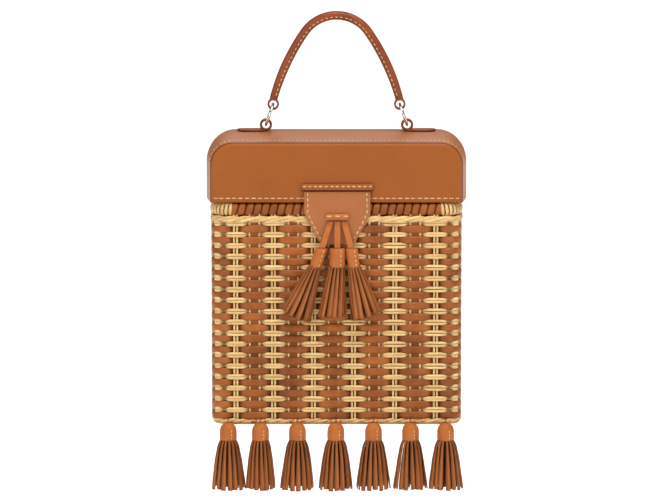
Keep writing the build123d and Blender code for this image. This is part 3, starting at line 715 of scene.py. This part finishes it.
def stitches(name, body, path, facing, pitch=4.6, length=3.5, radius=0.4, margin=2.0):
    """A row of stitches: each one a short thread, thin where it goes into the leather at both ends and
    raised between, at even steps along the path. facing is the leather's outward direction there."""
    path = np.asarray(path, float)
    facing = np.broadcast_to(np.asarray(facing, float), path.shape)
    total = stations(path, 0.0)[1]
    count = max(2, int((total - 2 * margin) / pitch) + 1)
    middle = np.linspace(margin, total - margin, count) + chance.uniform(-0.06, 0.06, count) * pitch
    share = np.linspace(-1, 1, 5)
    at = stations(path, middle[:, None] + share * length / 2)[0]
    line = np.concatenate([[0], np.cumsum(np.linalg.norm(np.diff(path, axis=0), axis=1))])
    out = unit(np.stack([np.interp(middle[:, None] + 0 * share, line, facing[:, k]) for k in range(3)], -1))
    at = at + out * (0.34 * radius * (1 - 3.2 * np.abs(share) ** 3))[None, :, None]
    along = unit(at[:, -1:] - at[:, :1]) + 0 * at
    section = circle(radius, 6)[None, None] * np.array([0.5, 0.92, 1.0, 0.92, 0.5])[None, :, None, None]
    piece = strand_piece(
        name, body, cream_thread, at, unit(np.cross(out, along)), out, section,
        tone=chance.uniform(-0.12, 0.05, count),
    )


lid_top = lid_bottom + lid_height
panel_corner = 1.6
panel_seam_y = basket_depth / 2 - panel_thickness


def panel_line(inset, samples):
    """Closed front outline of a lid panel drawn inwards by an inset, anticlockwise seen from the front, from
    the middle of its lower edge: x and z, and the direction that faces out in that plane."""
    half, top, bottom = lid_width / 2 - inset, lid_top - inset, lid_bottom + inset
    big, small = max(lid_corner - inset, 0.4), max(panel_corner - inset, 0.3)
    radius = np.array([small] * 3 + [big] * 4 + [small] * 3)
    x = np.array([0, 1, 1, 1, 1, -1, -1, -1, -1, 0]) * (half - radius)
    z = np.array([bottom + small] * 3 + [top - big] * 4 + [bottom + small] * 3)
    turn = np.radians([-90, -90, 0, 0, 90, 90, 180, 180, 270, 270])
    side_run, top_run = lid_height - lid_corner - panel_corner, lid_width - 2 * lid_corner
    foot_run, foot_bend, top_bend = lid_width / 2 - panel_corner, panel_corner * pi / 2, lid_corner * pi / 2
    runs = [0, foot_run, foot_bend, side_run, top_bend, top_run, top_bend, side_run, foot_bend, foot_run]
    t = np.cumsum(runs) / np.sum(runs)
    at = np.unique(np.concatenate([t[:-1], np.linspace(0, 1, samples, endpoint=False)]))
    radius, turn = np.interp(at, t, radius), np.interp(at, t, turn)
    out = np.stack([np.cos(turn), np.sin(turn)], -1)
    return np.stack([np.interp(at, t, x), np.interp(at, t, z)], -1) + radius[:, None] * out, out


def lid_panel(end, side):
    """A panel of leather over a thin pad: rings drawn inwards from the seam, rising as a quarter ellipse."""
    insets = np.array([0.7, 0.0, 0.0, 0.12, 0.4, 0.9, 1.6, 2.6, 4.0, 6.5, 10.0, 14.0, 18.0, 20.8])
    rise = panel_thickness * np.sqrt(1 - (1 - np.clip(insets / 3.4, 0, 1)) ** 2) * 0.97
    rise[0], rise[1], rise[2] = 0.0, 0.0, 0.35
    rise = rise + 0.12 * smoothstep(2, 14, insets)
    rings = [panel_line(inset, 150)[0] for inset in insets]
    count = len(rings[0])
    points = np.concatenate([
        points_at(-side * ring[:, 0], side * (panel_seam_y + up), ring[:, 1])
        for ring, up in zip(rings, rise)
    ])
    faces = grid_faces(len(rings), count, False, True)
    faces += [list(range(count - 1, -1, -1)), list(range((len(rings) - 1) * count, len(rings) * count))]
    piece = mesh_piece(f"lid_{end}_panel", points, faces, "lid", panel_leather)
    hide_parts(f"lid_{end}")


lid_panel("front", -1)
lid_panel("back", 1)

# Gusset: from one lower edge over the top to the other, crowned between the seams
gusset_y = basket_depth / 2 - panel_thickness - welt_thickness
crown_count, gusset_count = 33, 140
crown_share = np.linspace(1, -1, crown_count)
crown_share = np.sign(crown_share) * (1 - (1 - np.abs(crown_share)) ** 1.35)


def gusset_line(share, samples=gusset_count):
    """Open outline of the gusset at a share of half its depth: it swells outwards between the seams."""
    crown = 1 - np.abs(share) ** 2.1
    half, top = lid_width / 2 + crown * side_crown, lid_top + crown * top_crown
    corner = lid_corner + crown * 5.0
    side_run, bend = lid_height - corner, corner * pi / 2
    t = np.cumsum([0, side_run, bend, 2 * (half - corner), bend, side_run])
    at = np.linspace(0, 1, samples) * t[-1]
    turn = np.interp(at, t, np.radians([0, 0, 90, 90, 180, 180]))
    x = np.interp(at, t, np.array([1, 1, 1, -1, -1, -1]) * (half - corner))
    z = np.interp(at, t, np.array([lid_bottom] + [top - corner] * 4 + [lid_bottom]))
    out = points_at(np.cos(turn), 0.0, np.sin(turn))
    return points_at(x, share * gusset_y, z) + corner * out, out


gusset_points = np.concatenate([gusset_line(share)[0] for share in crown_share])
gusset_faces = grid_faces(crown_count, gusset_count)
# the gusset takes top_leather, whose paler colour is painted light on the lid's top
gusset = mesh_piece("lid_gusset_leather", gusset_points, gusset_faces, "lid", top_leather)
walled(gusset, 1.6)
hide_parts("lid_gusset")

# Seams: a dark welt, its colour partly edge paint and partly painted shade of the groove between panel and
# gusset, and a stitch row on the gusset beside it
for end, side in (("front", -1), ("back", 1)):
    seam, seam_out = gusset_line(1.0)
    seam = seam[::side] * np.array([1, 0, 1]) + np.array([0, side * (gusset_y + welt_thickness / 2), 0])
    seam_out = seam_out[::side]
    welt_side = np.array([0.0, -side, 0.0])
    welt_path = (seam - 0.25 * seam_out)[None]
    welt = strand_piece(
        f"{end}_seam_welt", "lid", edge_leather, welt_path, welt_side, seam_out[None], circle(0.72, 8)
    )
    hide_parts(f"lid_welt_{end}")
    stitched, stitched_out = gusset_line(side * 0.84, 260)
    stitches(
        f"{end}_seam_stitches", "lid", stitched, stitched_out,
        pitch=3.3, length=2.3, radius=0.3, margin=1.5,
    )

# Stitch line along the lower edge of the front and back panels
for name, side in (("front_edge_stitches", -1), ("back_edge_stitches", 1)):
    reach = lid_width / 2 - 2.0
    line_x = np.linspace(-reach, reach, 100) * -side
    line = points_at(line_x, side * (panel_seam_y + 2.42), lid_bottom + 3.4)
    stitches(name, "lid", line, (0, side, 0), margin=1.0)


def padded_bar(length, height, depth, corners=9):
    """Stations of a stitched strap seen end on: its section grows from almost nothing at each end to full
    within a millimetre, so that the ends are rounded. Gives the distances and the sections."""
    reach = length / 2
    tip = np.array([0, 0.1, 0.35, 0.8])
    at = np.concatenate([-reach + tip, np.linspace(-reach + 2, reach - 2, corners), reach - tip[::-1]])
    inset = np.clip((reach - np.abs(at)) / 0.8, 0, 1)
    swell = np.sqrt(1 - (1 - inset) ** 2)
    section = strap_profile(height, depth, 0.3)
    scale = np.stack([1 - 0.1 * (1 - swell), 0.25 + 0.75 * swell], -1)
    return at, section[None] * scale[:, None]


# Keeper of the clasp: a strap across the lid with a painted lower edge and a stitch row
front_y = -basket_depth / 2
keeper_at, keeper_section = padded_bar(keeper_length, keeper_width, 2.9)
keeper_path = points_at(clasp_x + keeper_at, front_y - 1.5, keeper_bottom + 2.5)[None]
keeper = strand_piece("clasp_strap", "lid", panel_leather, keeper_path, upright, frontward, keeper_section)
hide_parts("clasp_keeper")
edge_at, edge_section = padded_bar(52.0, 1.3, 3.0)
edge_path = points_at(clasp_x + edge_at, front_y - 1.55, keeper_bottom + 0.55)[None]
keeper_edge = strand_piece(
    "clasp_strap_edge", "lid", edge_leather, edge_path, upright, frontward, edge_section
)
row_x = clasp_x + np.linspace(-25.3, 25.3, 60)
keeper_row = points_at(row_x, front_y - 2.96, keeper_bottom + 3.3)
stitches(
    "clasp_strap_stitches", "lid", keeper_row, frontward,
    pitch=3.9, length=2.9, radius=0.42, margin=1.2,
)

# Clasp flap: straight, then tapering to a rounded tip
flap_top = keeper_bottom - 0.5
flap_drop = np.concatenate([
    np.linspace(0, 15, 8), np.linspace(17, 34, 10), np.linspace(35.2, flap_length, 10)
])


def flap_half(drop):
    """Half the flap's width at a drop below its top, its lower corners cut by quarter circles."""
    taper = np.clip((drop - flap_straight) / (flap_length - flap_straight), 0, 1) ** 1.12
    half = flap_half_width - (flap_half_width - flap_tip_half_width) * taper
    corner = 3.4
    into = np.clip(drop - (flap_length - corner), 0, corner)
    return half - (corner - np.sqrt(np.maximum(corner**2 - into**2, 0)))


across_flap = np.linspace(-1, 1, 25)
flap_x = clasp_x + flap_half(flap_drop)[:, None] * across_flap
flap_points = points_at(flap_x, flap_face, flap_top - flap_drop[:, None])[::-1].reshape(-1, 3)
flap_faces = grid_faces(len(flap_drop), len(across_flap))
flap = mesh_piece("clasp_flap_leather", flap_points, flap_faces, "clasp_flap", top_leather)
flap.data.materials.append(edge_leather)
walled(flap, 1.75).material_offset_rim = 1
flap_ease = flap.modifiers.new("ease", "BEVEL")
flap_ease.width = 0.4 * MM
flap_ease.segments = 3
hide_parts("clasp_flap")
seam_drop = np.linspace(1.0, 34.6, 60)
for name, side in (("flap_left_stitches", -1), ("flap_right_stitches", 1)):
    row_x = clasp_x + side * (flap_half(seam_drop) - 2.5)
    row = points_at(row_x, flap_face, flap_top - seam_drop)
    stitches(name, "clasp_flap", row, frontward, pitch=4.1, length=3.1, radius=0.42, margin=0.8)

# Keeper of the charms
charm_at, charm_section = padded_bar(charm_keeper_length, charm_keeper_width, 2.2, 3)
charm_path = points_at(clasp_x + charm_at, flap_face - 1.15, charm_keeper_top - 2.2)[None]
charm_strap = strand_piece(
    "charm_holder", "clasp_flap", tassel_leather, charm_path, upright, frontward, charm_section,
)
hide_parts("charm_keeper")
row_x = clasp_x + np.linspace(-8.0, 8.0, 20)
stitches(
    "charm_holder_stitches", "clasp_flap", points_at(row_x, flap_face - 2.3, charm_keeper_top - 1.5),
    frontward, pitch=5.0, length=4.1, radius=0.5, margin=2.0,
)


def fringe(body, top, foot, top_size, foot_size, fall, counts, strip_width, thickness, slope=0.0):
    """A bundle of strips hanging from one oval to a larger one. Each strip is a strap whose middle goes from
    the top oval to the foot oval by the shares of the fall, with its own small curl at the foot. slope tilts
    the line of the feet. Strips of the inner ring are narrower and darker, with painted shade."""
    t = np.linspace(0, 1, 13)
    spread = np.interp(t, *fall)
    parts, tones, darks = [], [], []
    for ring_number, count in enumerate(counts):
        shrink = 1.0 - 0.42 * ring_number
        turn = (np.arange(count) + 0.5 * ring_number + 0.25) * 2 * pi / count
        turn = (turn + chance.uniform(-0.05, 0.05, count))[:, None]
        way = points_at(np.cos(turn), np.sin(turn), 0.0)
        size = (np.asarray(top_size) + (np.asarray(foot_size) - top_size) * spread[:, None]) * shrink
        size = np.concatenate([size, np.zeros((len(t), 1))], -1)
        middle = np.asarray(top, float) + (np.asarray(foot, float) - top) * t[:, None]
        curl = chance.normal(0, 1, (count, 1, 1)) * np.array([0.55, 0.35, 0.0]) * (t[None, :, None] ** 2.2)
        uneven = chance.uniform(-0.025, 0.012, (count, 1, 1)) * (foot[2] - top[2]) * t[None, :, None]
        path = middle + way * size[None] + curl + uneven * upright
        path = path + upright * (slope * (way * size[None])[..., :1] * t[None, :, None])
        facing = unit(way / np.maximum(np.array([foot_size[0], foot_size[1], 1.0]), 0.1)) + 0 * path
        twist = chance.normal(0, 0.22, (count, 1)) * t[None, :] ** 1.5
        along = unit(np.gradient(path, axis=1))
        side = unit(np.cross(facing, along))
        facing = unit(np.cross(along, side))
        turned, crossed = np.cos(twist)[..., None], np.sin(twist)[..., None]
        side, facing = side * turned + facing * crossed, facing * turned - side * crossed
        widths = strip_width * (0.5 + 0.5 * smoothstep(0, 0.85, t)) * (1.0 if ring_number == 0 else 0.92)
        cup = strap_profile(1.0, thickness, 0.3)[None] * np.stack([widths, np.ones_like(t)], -1)[:, None]
        parts.append(carried(path, side, facing, cup))
        tones.append(np.repeat(chance.uniform(-0.16, 0.09, count), len(t) * 8))
        # painted shade: each strip darkens at its edges, for the gaps between strips; the inner ring is
        # darker still, and all strips darken towards the top under the head
        edge = np.tile(np.array([0.4, 0.5, 0.4, 0.0, 0.4, 0.5, 0.4, 0.0]), count * len(t))
        top_shade = np.repeat(np.tile(0.2 * (1 - t), count), 8)
        darks.append(np.clip(edge + 0.45 * ring_number + top_shade, 0, 0.9))
    points, faces = gather(parts)
    values = {"tone": np.concatenate(tones), "dark": np.concatenate(darks)}
    piece = mesh_piece(f"{body}_strips", points, faces, body, tassel_leather, attributes=values)
    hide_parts(f"{body}_fringe")


def oval_band(name, node_name, body, axis_points, sizes, sides=28):
    """A wrapped band or cap with closed ends: ovals of the given half sizes round points along its axis."""
    turn = np.arange(sides) * 2 * pi / sides
    ring = np.stack([np.cos(turn), np.sin(turn)], -1)
    ovals = sizes[:, None] * ring
    points = axis_points[:, None] + points_at(ovals[..., 0], ovals[..., 1], 0.0)
    faces = grid_faces(len(sizes), sides, False, True)
    faces += [list(range(sides - 1, -1, -1)), list(range((len(sizes) - 1) * sides, len(sizes) * sides))]
    piece = mesh_piece(name, points.reshape(-1, 3), faces, body, tassel_leather)
    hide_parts(node_name)


# Charm tassels: x of strap top, head top, head foot and fringe foot, head width, foot width, feet's slope
charms = {
    "charm_left": (-4.9, -11.4, -16.0, -30.5, 9.4, 22.0, -0.5),
    "charm_middle": (0.0, 0.0, -0.1, -4.3, 11.8, 20.0, 0.0),
    "charm_right": (4.9, 10.3, 12.1, 20.9, 9.0, 22.5, 0.3),
}
head_top = keeper_bottom - 41.5
head_foot = head_top - charm_head_length
charm_foot = head_foot - 36.0
head_y, charm_foot_y = -55.1, -56.6
charm_fall = (np.array([0, 0.12, 0.3, 0.55, 0.8, 1.0]), np.array([0, 0.2, 0.4, 0.63, 0.84, 1.0]))
for name, (strap_x, top_x, low_x, foot_x, head_width, foot_width, foot_slope) in charms.items():
    t = np.linspace(0, 1, 10)
    strap_path = points_at(
        clasp_x + strap_x + (top_x - strap_x) * t,
        charm_hang_y + (head_y - 1.2 - charm_hang_y) * t - 0.9 * np.sin(pi * t),
        charm_hang_z + (head_top - 1.0 - charm_hang_z) * t,
    )
    # painted shade: the tie darkens towards its top, where it comes out from under the charm holder
    strap = strand_piece(
        f"{name}_tie", name, tassel_leather, strap_path[None], rightward, frontward,
        strap_profile(4.5, 1.3, 0.3), tone=[0.02], dark=0.35 * (1 - smoothstep(0.0, 0.25, t))[None],
    )
    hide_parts(f"{name}_strap")
    share = np.array([0.0, 0.0, 0.03, 0.1, 0.25, 0.5, 0.75, 0.92, 1.0, 1.0])
    size = np.array([0.3, 0.84, 0.95, 1.0, 1.0, 0.98, 0.97, 0.97, 0.93, 0.3])[:, None]
    size = size * np.array([head_width / 2, 4.8])
    head_x = clasp_x + top_x + (low_x - top_x) * share
    axis = points_at(head_x, head_y, head_top - charm_head_length * share)
    oval_band(f"{name}_head", f"{name}_band", name, axis[::-1], size[::-1])
    row_share = np.linspace(0.08, 0.92, 12)
    row_x = clasp_x + top_x + (low_x - top_x) * row_share + 0.22 * head_width
    row = points_at(row_x, head_y - 4.42, head_top - charm_head_length * row_share)
    stitches(
        f"{name}_head_stitches", name, row, (0.4, -0.9, 0),
        pitch=2.9, length=2.0, radius=0.36, margin=0.8,
    )
    fringe(
        name, (clasp_x + low_x, head_y, head_foot + 1.5), (clasp_x + foot_x, charm_foot_y, charm_foot),
        (0.43 * head_width, 3.9), (foot_width / 2 - 1.0, 5.2), charm_fall, (13, 9), 3.7, 1.1, foot_slope,
    )

# Lower tassels: a domed cap with a loop, and a bell of strips
cap_rise = np.array([0.0, 0.0, 0.03, 0.1, 0.3, 0.55, 0.7, 0.82, 0.9, 0.96, 1.0, 1.0])
cap_size = np.array([0.4, 0.9, 0.97, 0.99, 1.0, 0.98, 0.92, 0.8, 0.65, 0.45, 0.28, 0.02]) * cap_radius
bell = (
    np.array([0, 0.12, 0.24, 0.365, 0.49, 0.61, 0.73, 0.855, 1.0]),
    np.array([0, 0.36, 0.47, 0.62, 0.72, 0.79, 0.88, 0.96, 1.0]),
)
for number, (tassel_x, foot_half) in enumerate(lower_tassels, 1):
    body = f"tassel_{number}"
    axis = points_at(tassel_x, tassel_y, -10.3 + 12.9 * cap_rise)
    oval_band(f"{body}_dome", f"{body}_cap", body, axis, np.stack([cap_size, cap_size], -1))
    loop_turn = np.linspace(0, 2 * pi, 14, endpoint=False)
    loop_out = points_at(0.0, np.cos(loop_turn), np.sin(loop_turn))
    loop_path = np.array([tassel_x, tassel_y, tassel_hang_z]) + 1.2 * loop_out
    loop = strand_piece(
        f"{body}_loop", body, tassel_leather, loop_path[None], rightward, loop_out[None],
        circle(0.33, 6) * [2.0, 1.0], loop=True,
    )
    turn = -pi / 2 + 0.42
    row_z = np.linspace(-9.4, -2.2, 8)
    row = points_at(tassel_x + cap_radius * np.cos(turn), tassel_y + cap_radius * np.sin(turn), row_z)
    stitches(
        f"{body}_stitches", body, row[::-1], (np.cos(turn), np.sin(turn), 0),
        pitch=2.7, length=1.8, radius=0.34, margin=0.9,
    )
    fringe(
        body, (tassel_x, tassel_y, -9.6), (tassel_x, tassel_y, -46.0),
        (5.2, 5.2), (foot_half - 0.7, foot_half - 0.7), bell, (16, 10), 3.5, 1.0,
    )

# Handle: line of the roll, the same arcs as its solid, and the loops at its feet
handle_loop_x = ring_x - ring_radius * sin(ring_tilt)
handle_loop_z = ring_z + ring_radius * cos(ring_tilt)
shoulder = np.array([23.3, ring_z + 60.7])
handle_foot = np.array([handle_loop_x, handle_loop_z + loop_hole])
crown_rise = handle_top - shoulder[1]
crown_radius = (shoulder[0] ** 2 + crown_rise**2) / (2 * crown_rise)
crown_turn = np.arcsin(shoulder[0] / crown_radius)
angle = np.linspace(0, crown_turn, 26)
crown_line = np.stack([crown_radius * np.sin(angle), handle_top - crown_radius * (1 - np.cos(angle))], -1)
heading = np.array([np.cos(crown_turn), -np.sin(crown_turn)])
chord = handle_foot - shoulder
swing = np.arctan2(heading[0] * chord[1] - heading[1] * chord[0], heading @ chord)
leg_radius = np.hypot(*chord) / (2 * np.sin(swing))
part = np.linspace(0, 1, 26)[1:, None] * swing
leg_way = np.concatenate([
    heading[0] * np.cos(part) - heading[1] * np.sin(part),
    heading[0] * np.sin(part) + heading[1] * np.cos(part),
], 1)
leg_line = shoulder + 2 * leg_radius * np.sin(part) * leg_way
right_half = np.concatenate([crown_line, leg_line])
arch = np.concatenate([right_half[:0:-1] * [-1, 1], right_half])
arch = points_at(arch[:, 0], 0.0, arch[:, 1])
arch_along = unit(np.gradient(arch, axis=0))
arch_out = unit(np.cross(arch_along, -frontward))
arch_out = arch_out * np.sign(arch_out[len(arch) // 2, 2])
arch_side = unit(np.cross(arch_out, arch_along))
turns = np.arange(20) * 2 * pi / 20
roll = np.stack([np.cos(turns), np.sin(turns)], -1) * 3.3
seam_pinch = np.exp(-((np.angle(np.exp(1j * (turns - radians(235)))) / 0.3) ** 2))
roll = roll * (1 + 0.07 * seam_pinch)[:, None]
to_end = np.minimum(np.arange(len(arch)), np.arange(len(arch))[::-1]) / 12
swell = 1 - 0.1 * (1 - smoothstep(0, 1, to_end))
handle_roll = strand_piece(
    "handle_roll", "handle", handle_leather, arch[None], arch_side[None], arch_out[None],
    roll[None] * swell[:, None, None],
)
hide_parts("handle")
front_turn = np.where(arch_side[len(arch) // 2, 1] < 0, 0.0, pi)
stitch_out = unit(arch_side * np.cos(front_turn) - 0.35 * arch_out)
stitches(
    "handle_stitches", "handle", arch + stitch_out * 3.15, stitch_out,
    pitch=3.6, length=2.4, radius=0.34, margin=5,
)


def loop_strap(name, body, middle, outer):
    """A strap folded into a closed loop round an axis along Y."""
    turn = np.linspace(0, 2 * pi, 40)[:-1]
    out = points_at(np.cos(turn), 0.0, np.sin(turn))
    path = np.asarray(middle, float) + (loop_hole + outer) / 2 * out
    along = points_at(-np.sin(turn), 0.0, np.cos(turn))
    piece = strand_piece(
        name, body, handle_leather, path[None], np.cross(out, along)[None], out[None],
        strap_profile(loop_width, outer - loop_hole, 0.28), loop=True,
    )


tab_z = crown_top + 0.1
for name, side in (("left", -1), ("right", 1)):
    # Loop of the handle round its ring
    loop_strap(f"handle_end_{name}", "handle", (side * handle_loop_x, 0, handle_loop_z), 4.25)
    # Brass ring, leaning inwards at the top
    turn = np.linspace(0, 2 * pi, 48, endpoint=False)
    ring_middle = np.array([side * ring_x, 0, ring_z])
    across = np.array([-side * sin(ring_tilt), 0, cos(ring_tilt)])
    out = np.cos(turn)[:, None] * -frontward + np.sin(turn)[:, None] * across
    along = unit(np.roll(out, -1, 0) - np.roll(out, 1, 0))
    ring = strand_piece(
        f"brass_ring_{name}", f"ring_{name}", brass, (ring_middle + ring_radius * out)[None],
        np.cross(out, along)[None], out[None], circle(ring_wire, 12), loop=True,
    )
    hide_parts(f"ring_{name}")
    # Tab: a rounded foot stitched to the lid, and the loop folded up from it
    tab_x = ring_x + ring_radius * sin(ring_tilt)
    reach = np.linspace(0, 1, 30)
    rounding = np.sqrt(np.clip(1 - np.clip((reach - 0.66) / 0.34, 0, 1) ** 2.4, 0, 1))
    half = 6.4 * rounding * (0.62 + 0.38 * smoothstep(0, 0.3, reach))
    u = np.linspace(-1, 1, 15)
    edge = np.minimum(half[:, None] * (1 - np.abs(u)), (1 - reach[:, None]) * tab_length)
    z = tab_z + 1.1 + 0.6 * np.exp(-(((edge - 0.9) / 0.8) ** 2)) - 0.5 * (1 - smoothstep(0, 0.5, edge))
    order = slice(None, None, -1) if side > 0 else slice(None)
    foot_points = points_at(side * (tab_x + tab_length * reach)[:, None], half[:, None] * u, z)[order]
    foot_faces = grid_faces(len(reach), len(u))
    foot = mesh_piece(f"tab_foot_{name}", foot_points.reshape(-1, 3), foot_faces, "lid", handle_leather)
    walled(foot, 1.3)
    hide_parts(f"handle_tab_{name}")
    loop_strap(f"tab_loop_{name}", "lid", (side * tab_x, 0, tab_loop_z), 4.55)

# Solids that stay as they are take a finish
finishes = {
    "base_board": base_board_finish, "lid_former": base_board_finish,
    "basket_lining": lining_cloth_in_painted_shade, "lid_lining": lining_cloth_in_painted_shade,
    "rim_rod": gold_cane, "tassel_threads": cream_thread,
    "snap_socket": brass, "snap_stud": brass,
    "hinge_loop_left": edge_leather, "hinge_loop_right": edge_leather,
}
for name, finish in finishes.items():
    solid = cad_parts[name]
    solid.data.materials.clear()
    solid.data.materials.append(finish)

# Stage: a pale floor with painted light, which glows more away from the bag so that a painted shadow pools
# round it; soft light and the camera
floor_tree = new_tree("floor_paint")
floor_material = surface("floor_paint", rgb(250, 250, 250), roughness=0.9, Emission_Color=(1, 1, 1, 1))
floor_place = node(floor_tree, "ShaderNodeTexCoord").outputs["Object"]
floor_away = node(floor_tree, "ShaderNodeVectorMath", operation="LENGTH", _0=floor_place).outputs["Value"]
floor_glow = node(floor_tree, "ShaderNodeMapRange", Value=floor_away, _1=0.45, _2=1.25, _3=0.05, _4=1.0)
floor_tree.links.new(floor_glow.outputs[0], floor_tree.nodes["Principled BSDF"].inputs["Emission Strength"])
floor_mesh = bpy.data.meshes.new("floor")
floor_half, floor_z = 9, -0.32
floor_corners = [
    (x * floor_half, y * floor_half, floor_z) for x, y in ((-1, -1), (1, -1), (1, 1), (-1, 1))
]
floor_mesh.from_pydata(floor_corners, [], [(0, 1, 2, 3)])
floor_mesh.materials.append(floor_material)
floor = bpy.data.objects.new("floor", floor_mesh)
bpy.context.scene.collection.objects.link(floor)

world = bpy.data.worlds.new("studio")
bpy.context.scene.world = world
bpy.context.scene.view_settings.view_transform = "Standard"
world.use_nodes = True
world.node_tree.nodes["Background"].inputs["Color"].default_value = (1, 1, 1, 1)
world.node_tree.nodes["Background"].inputs["Strength"].default_value = 0.2


def softbox(name, place, aim, width, height, power):
    """A large rectangle of light at a place, in metres, turned to its aim."""
    lamp = bpy.data.lights.new(name, "AREA")
    lamp.shape = "RECTANGLE"
    lamp.size, lamp.size_y, lamp.energy = width, height, power
    thing = bpy.data.objects.new(name, lamp)
    bpy.context.scene.collection.objects.link(thing)
    thing.location = place
    away = np.array(aim) - np.array(place)
    thing.rotation_euler = Vector(away).to_track_quat("-Z", "Y").to_euler()


softbox("overhead", (0.2, -0.5, 1.5), (0, 0, 0.15), 1.0, 0.8, 15)
softbox("left_front", (-1.3, -1.5, 0.9), (0, 0, 0.1), 0.8, 0.9, 9)
softbox("right_front", (1.4, -1.3, 0.6), (0, 0, 0.1), 0.7, 0.9, 4.5)
softbox("top_back", (0.0, 1.3, 1.2), (0, 0, 0.2), 1.4, 0.8, 4.5)

camera = bpy.data.objects.new("camera", bpy.data.cameras.new("camera"))
bpy.context.scene.collection.objects.link(camera)
bpy.context.scene.camera = camera
camera.data.sensor_width = 36.0
camera.data.lens = 238.56
camera.data.clip_end = 20.0
camera.location = (-0.0011, -3.25, 0.543)
camera.rotation_euler = (pi / 2 - atan((543 - 128.9) / 3200), 0, 0)
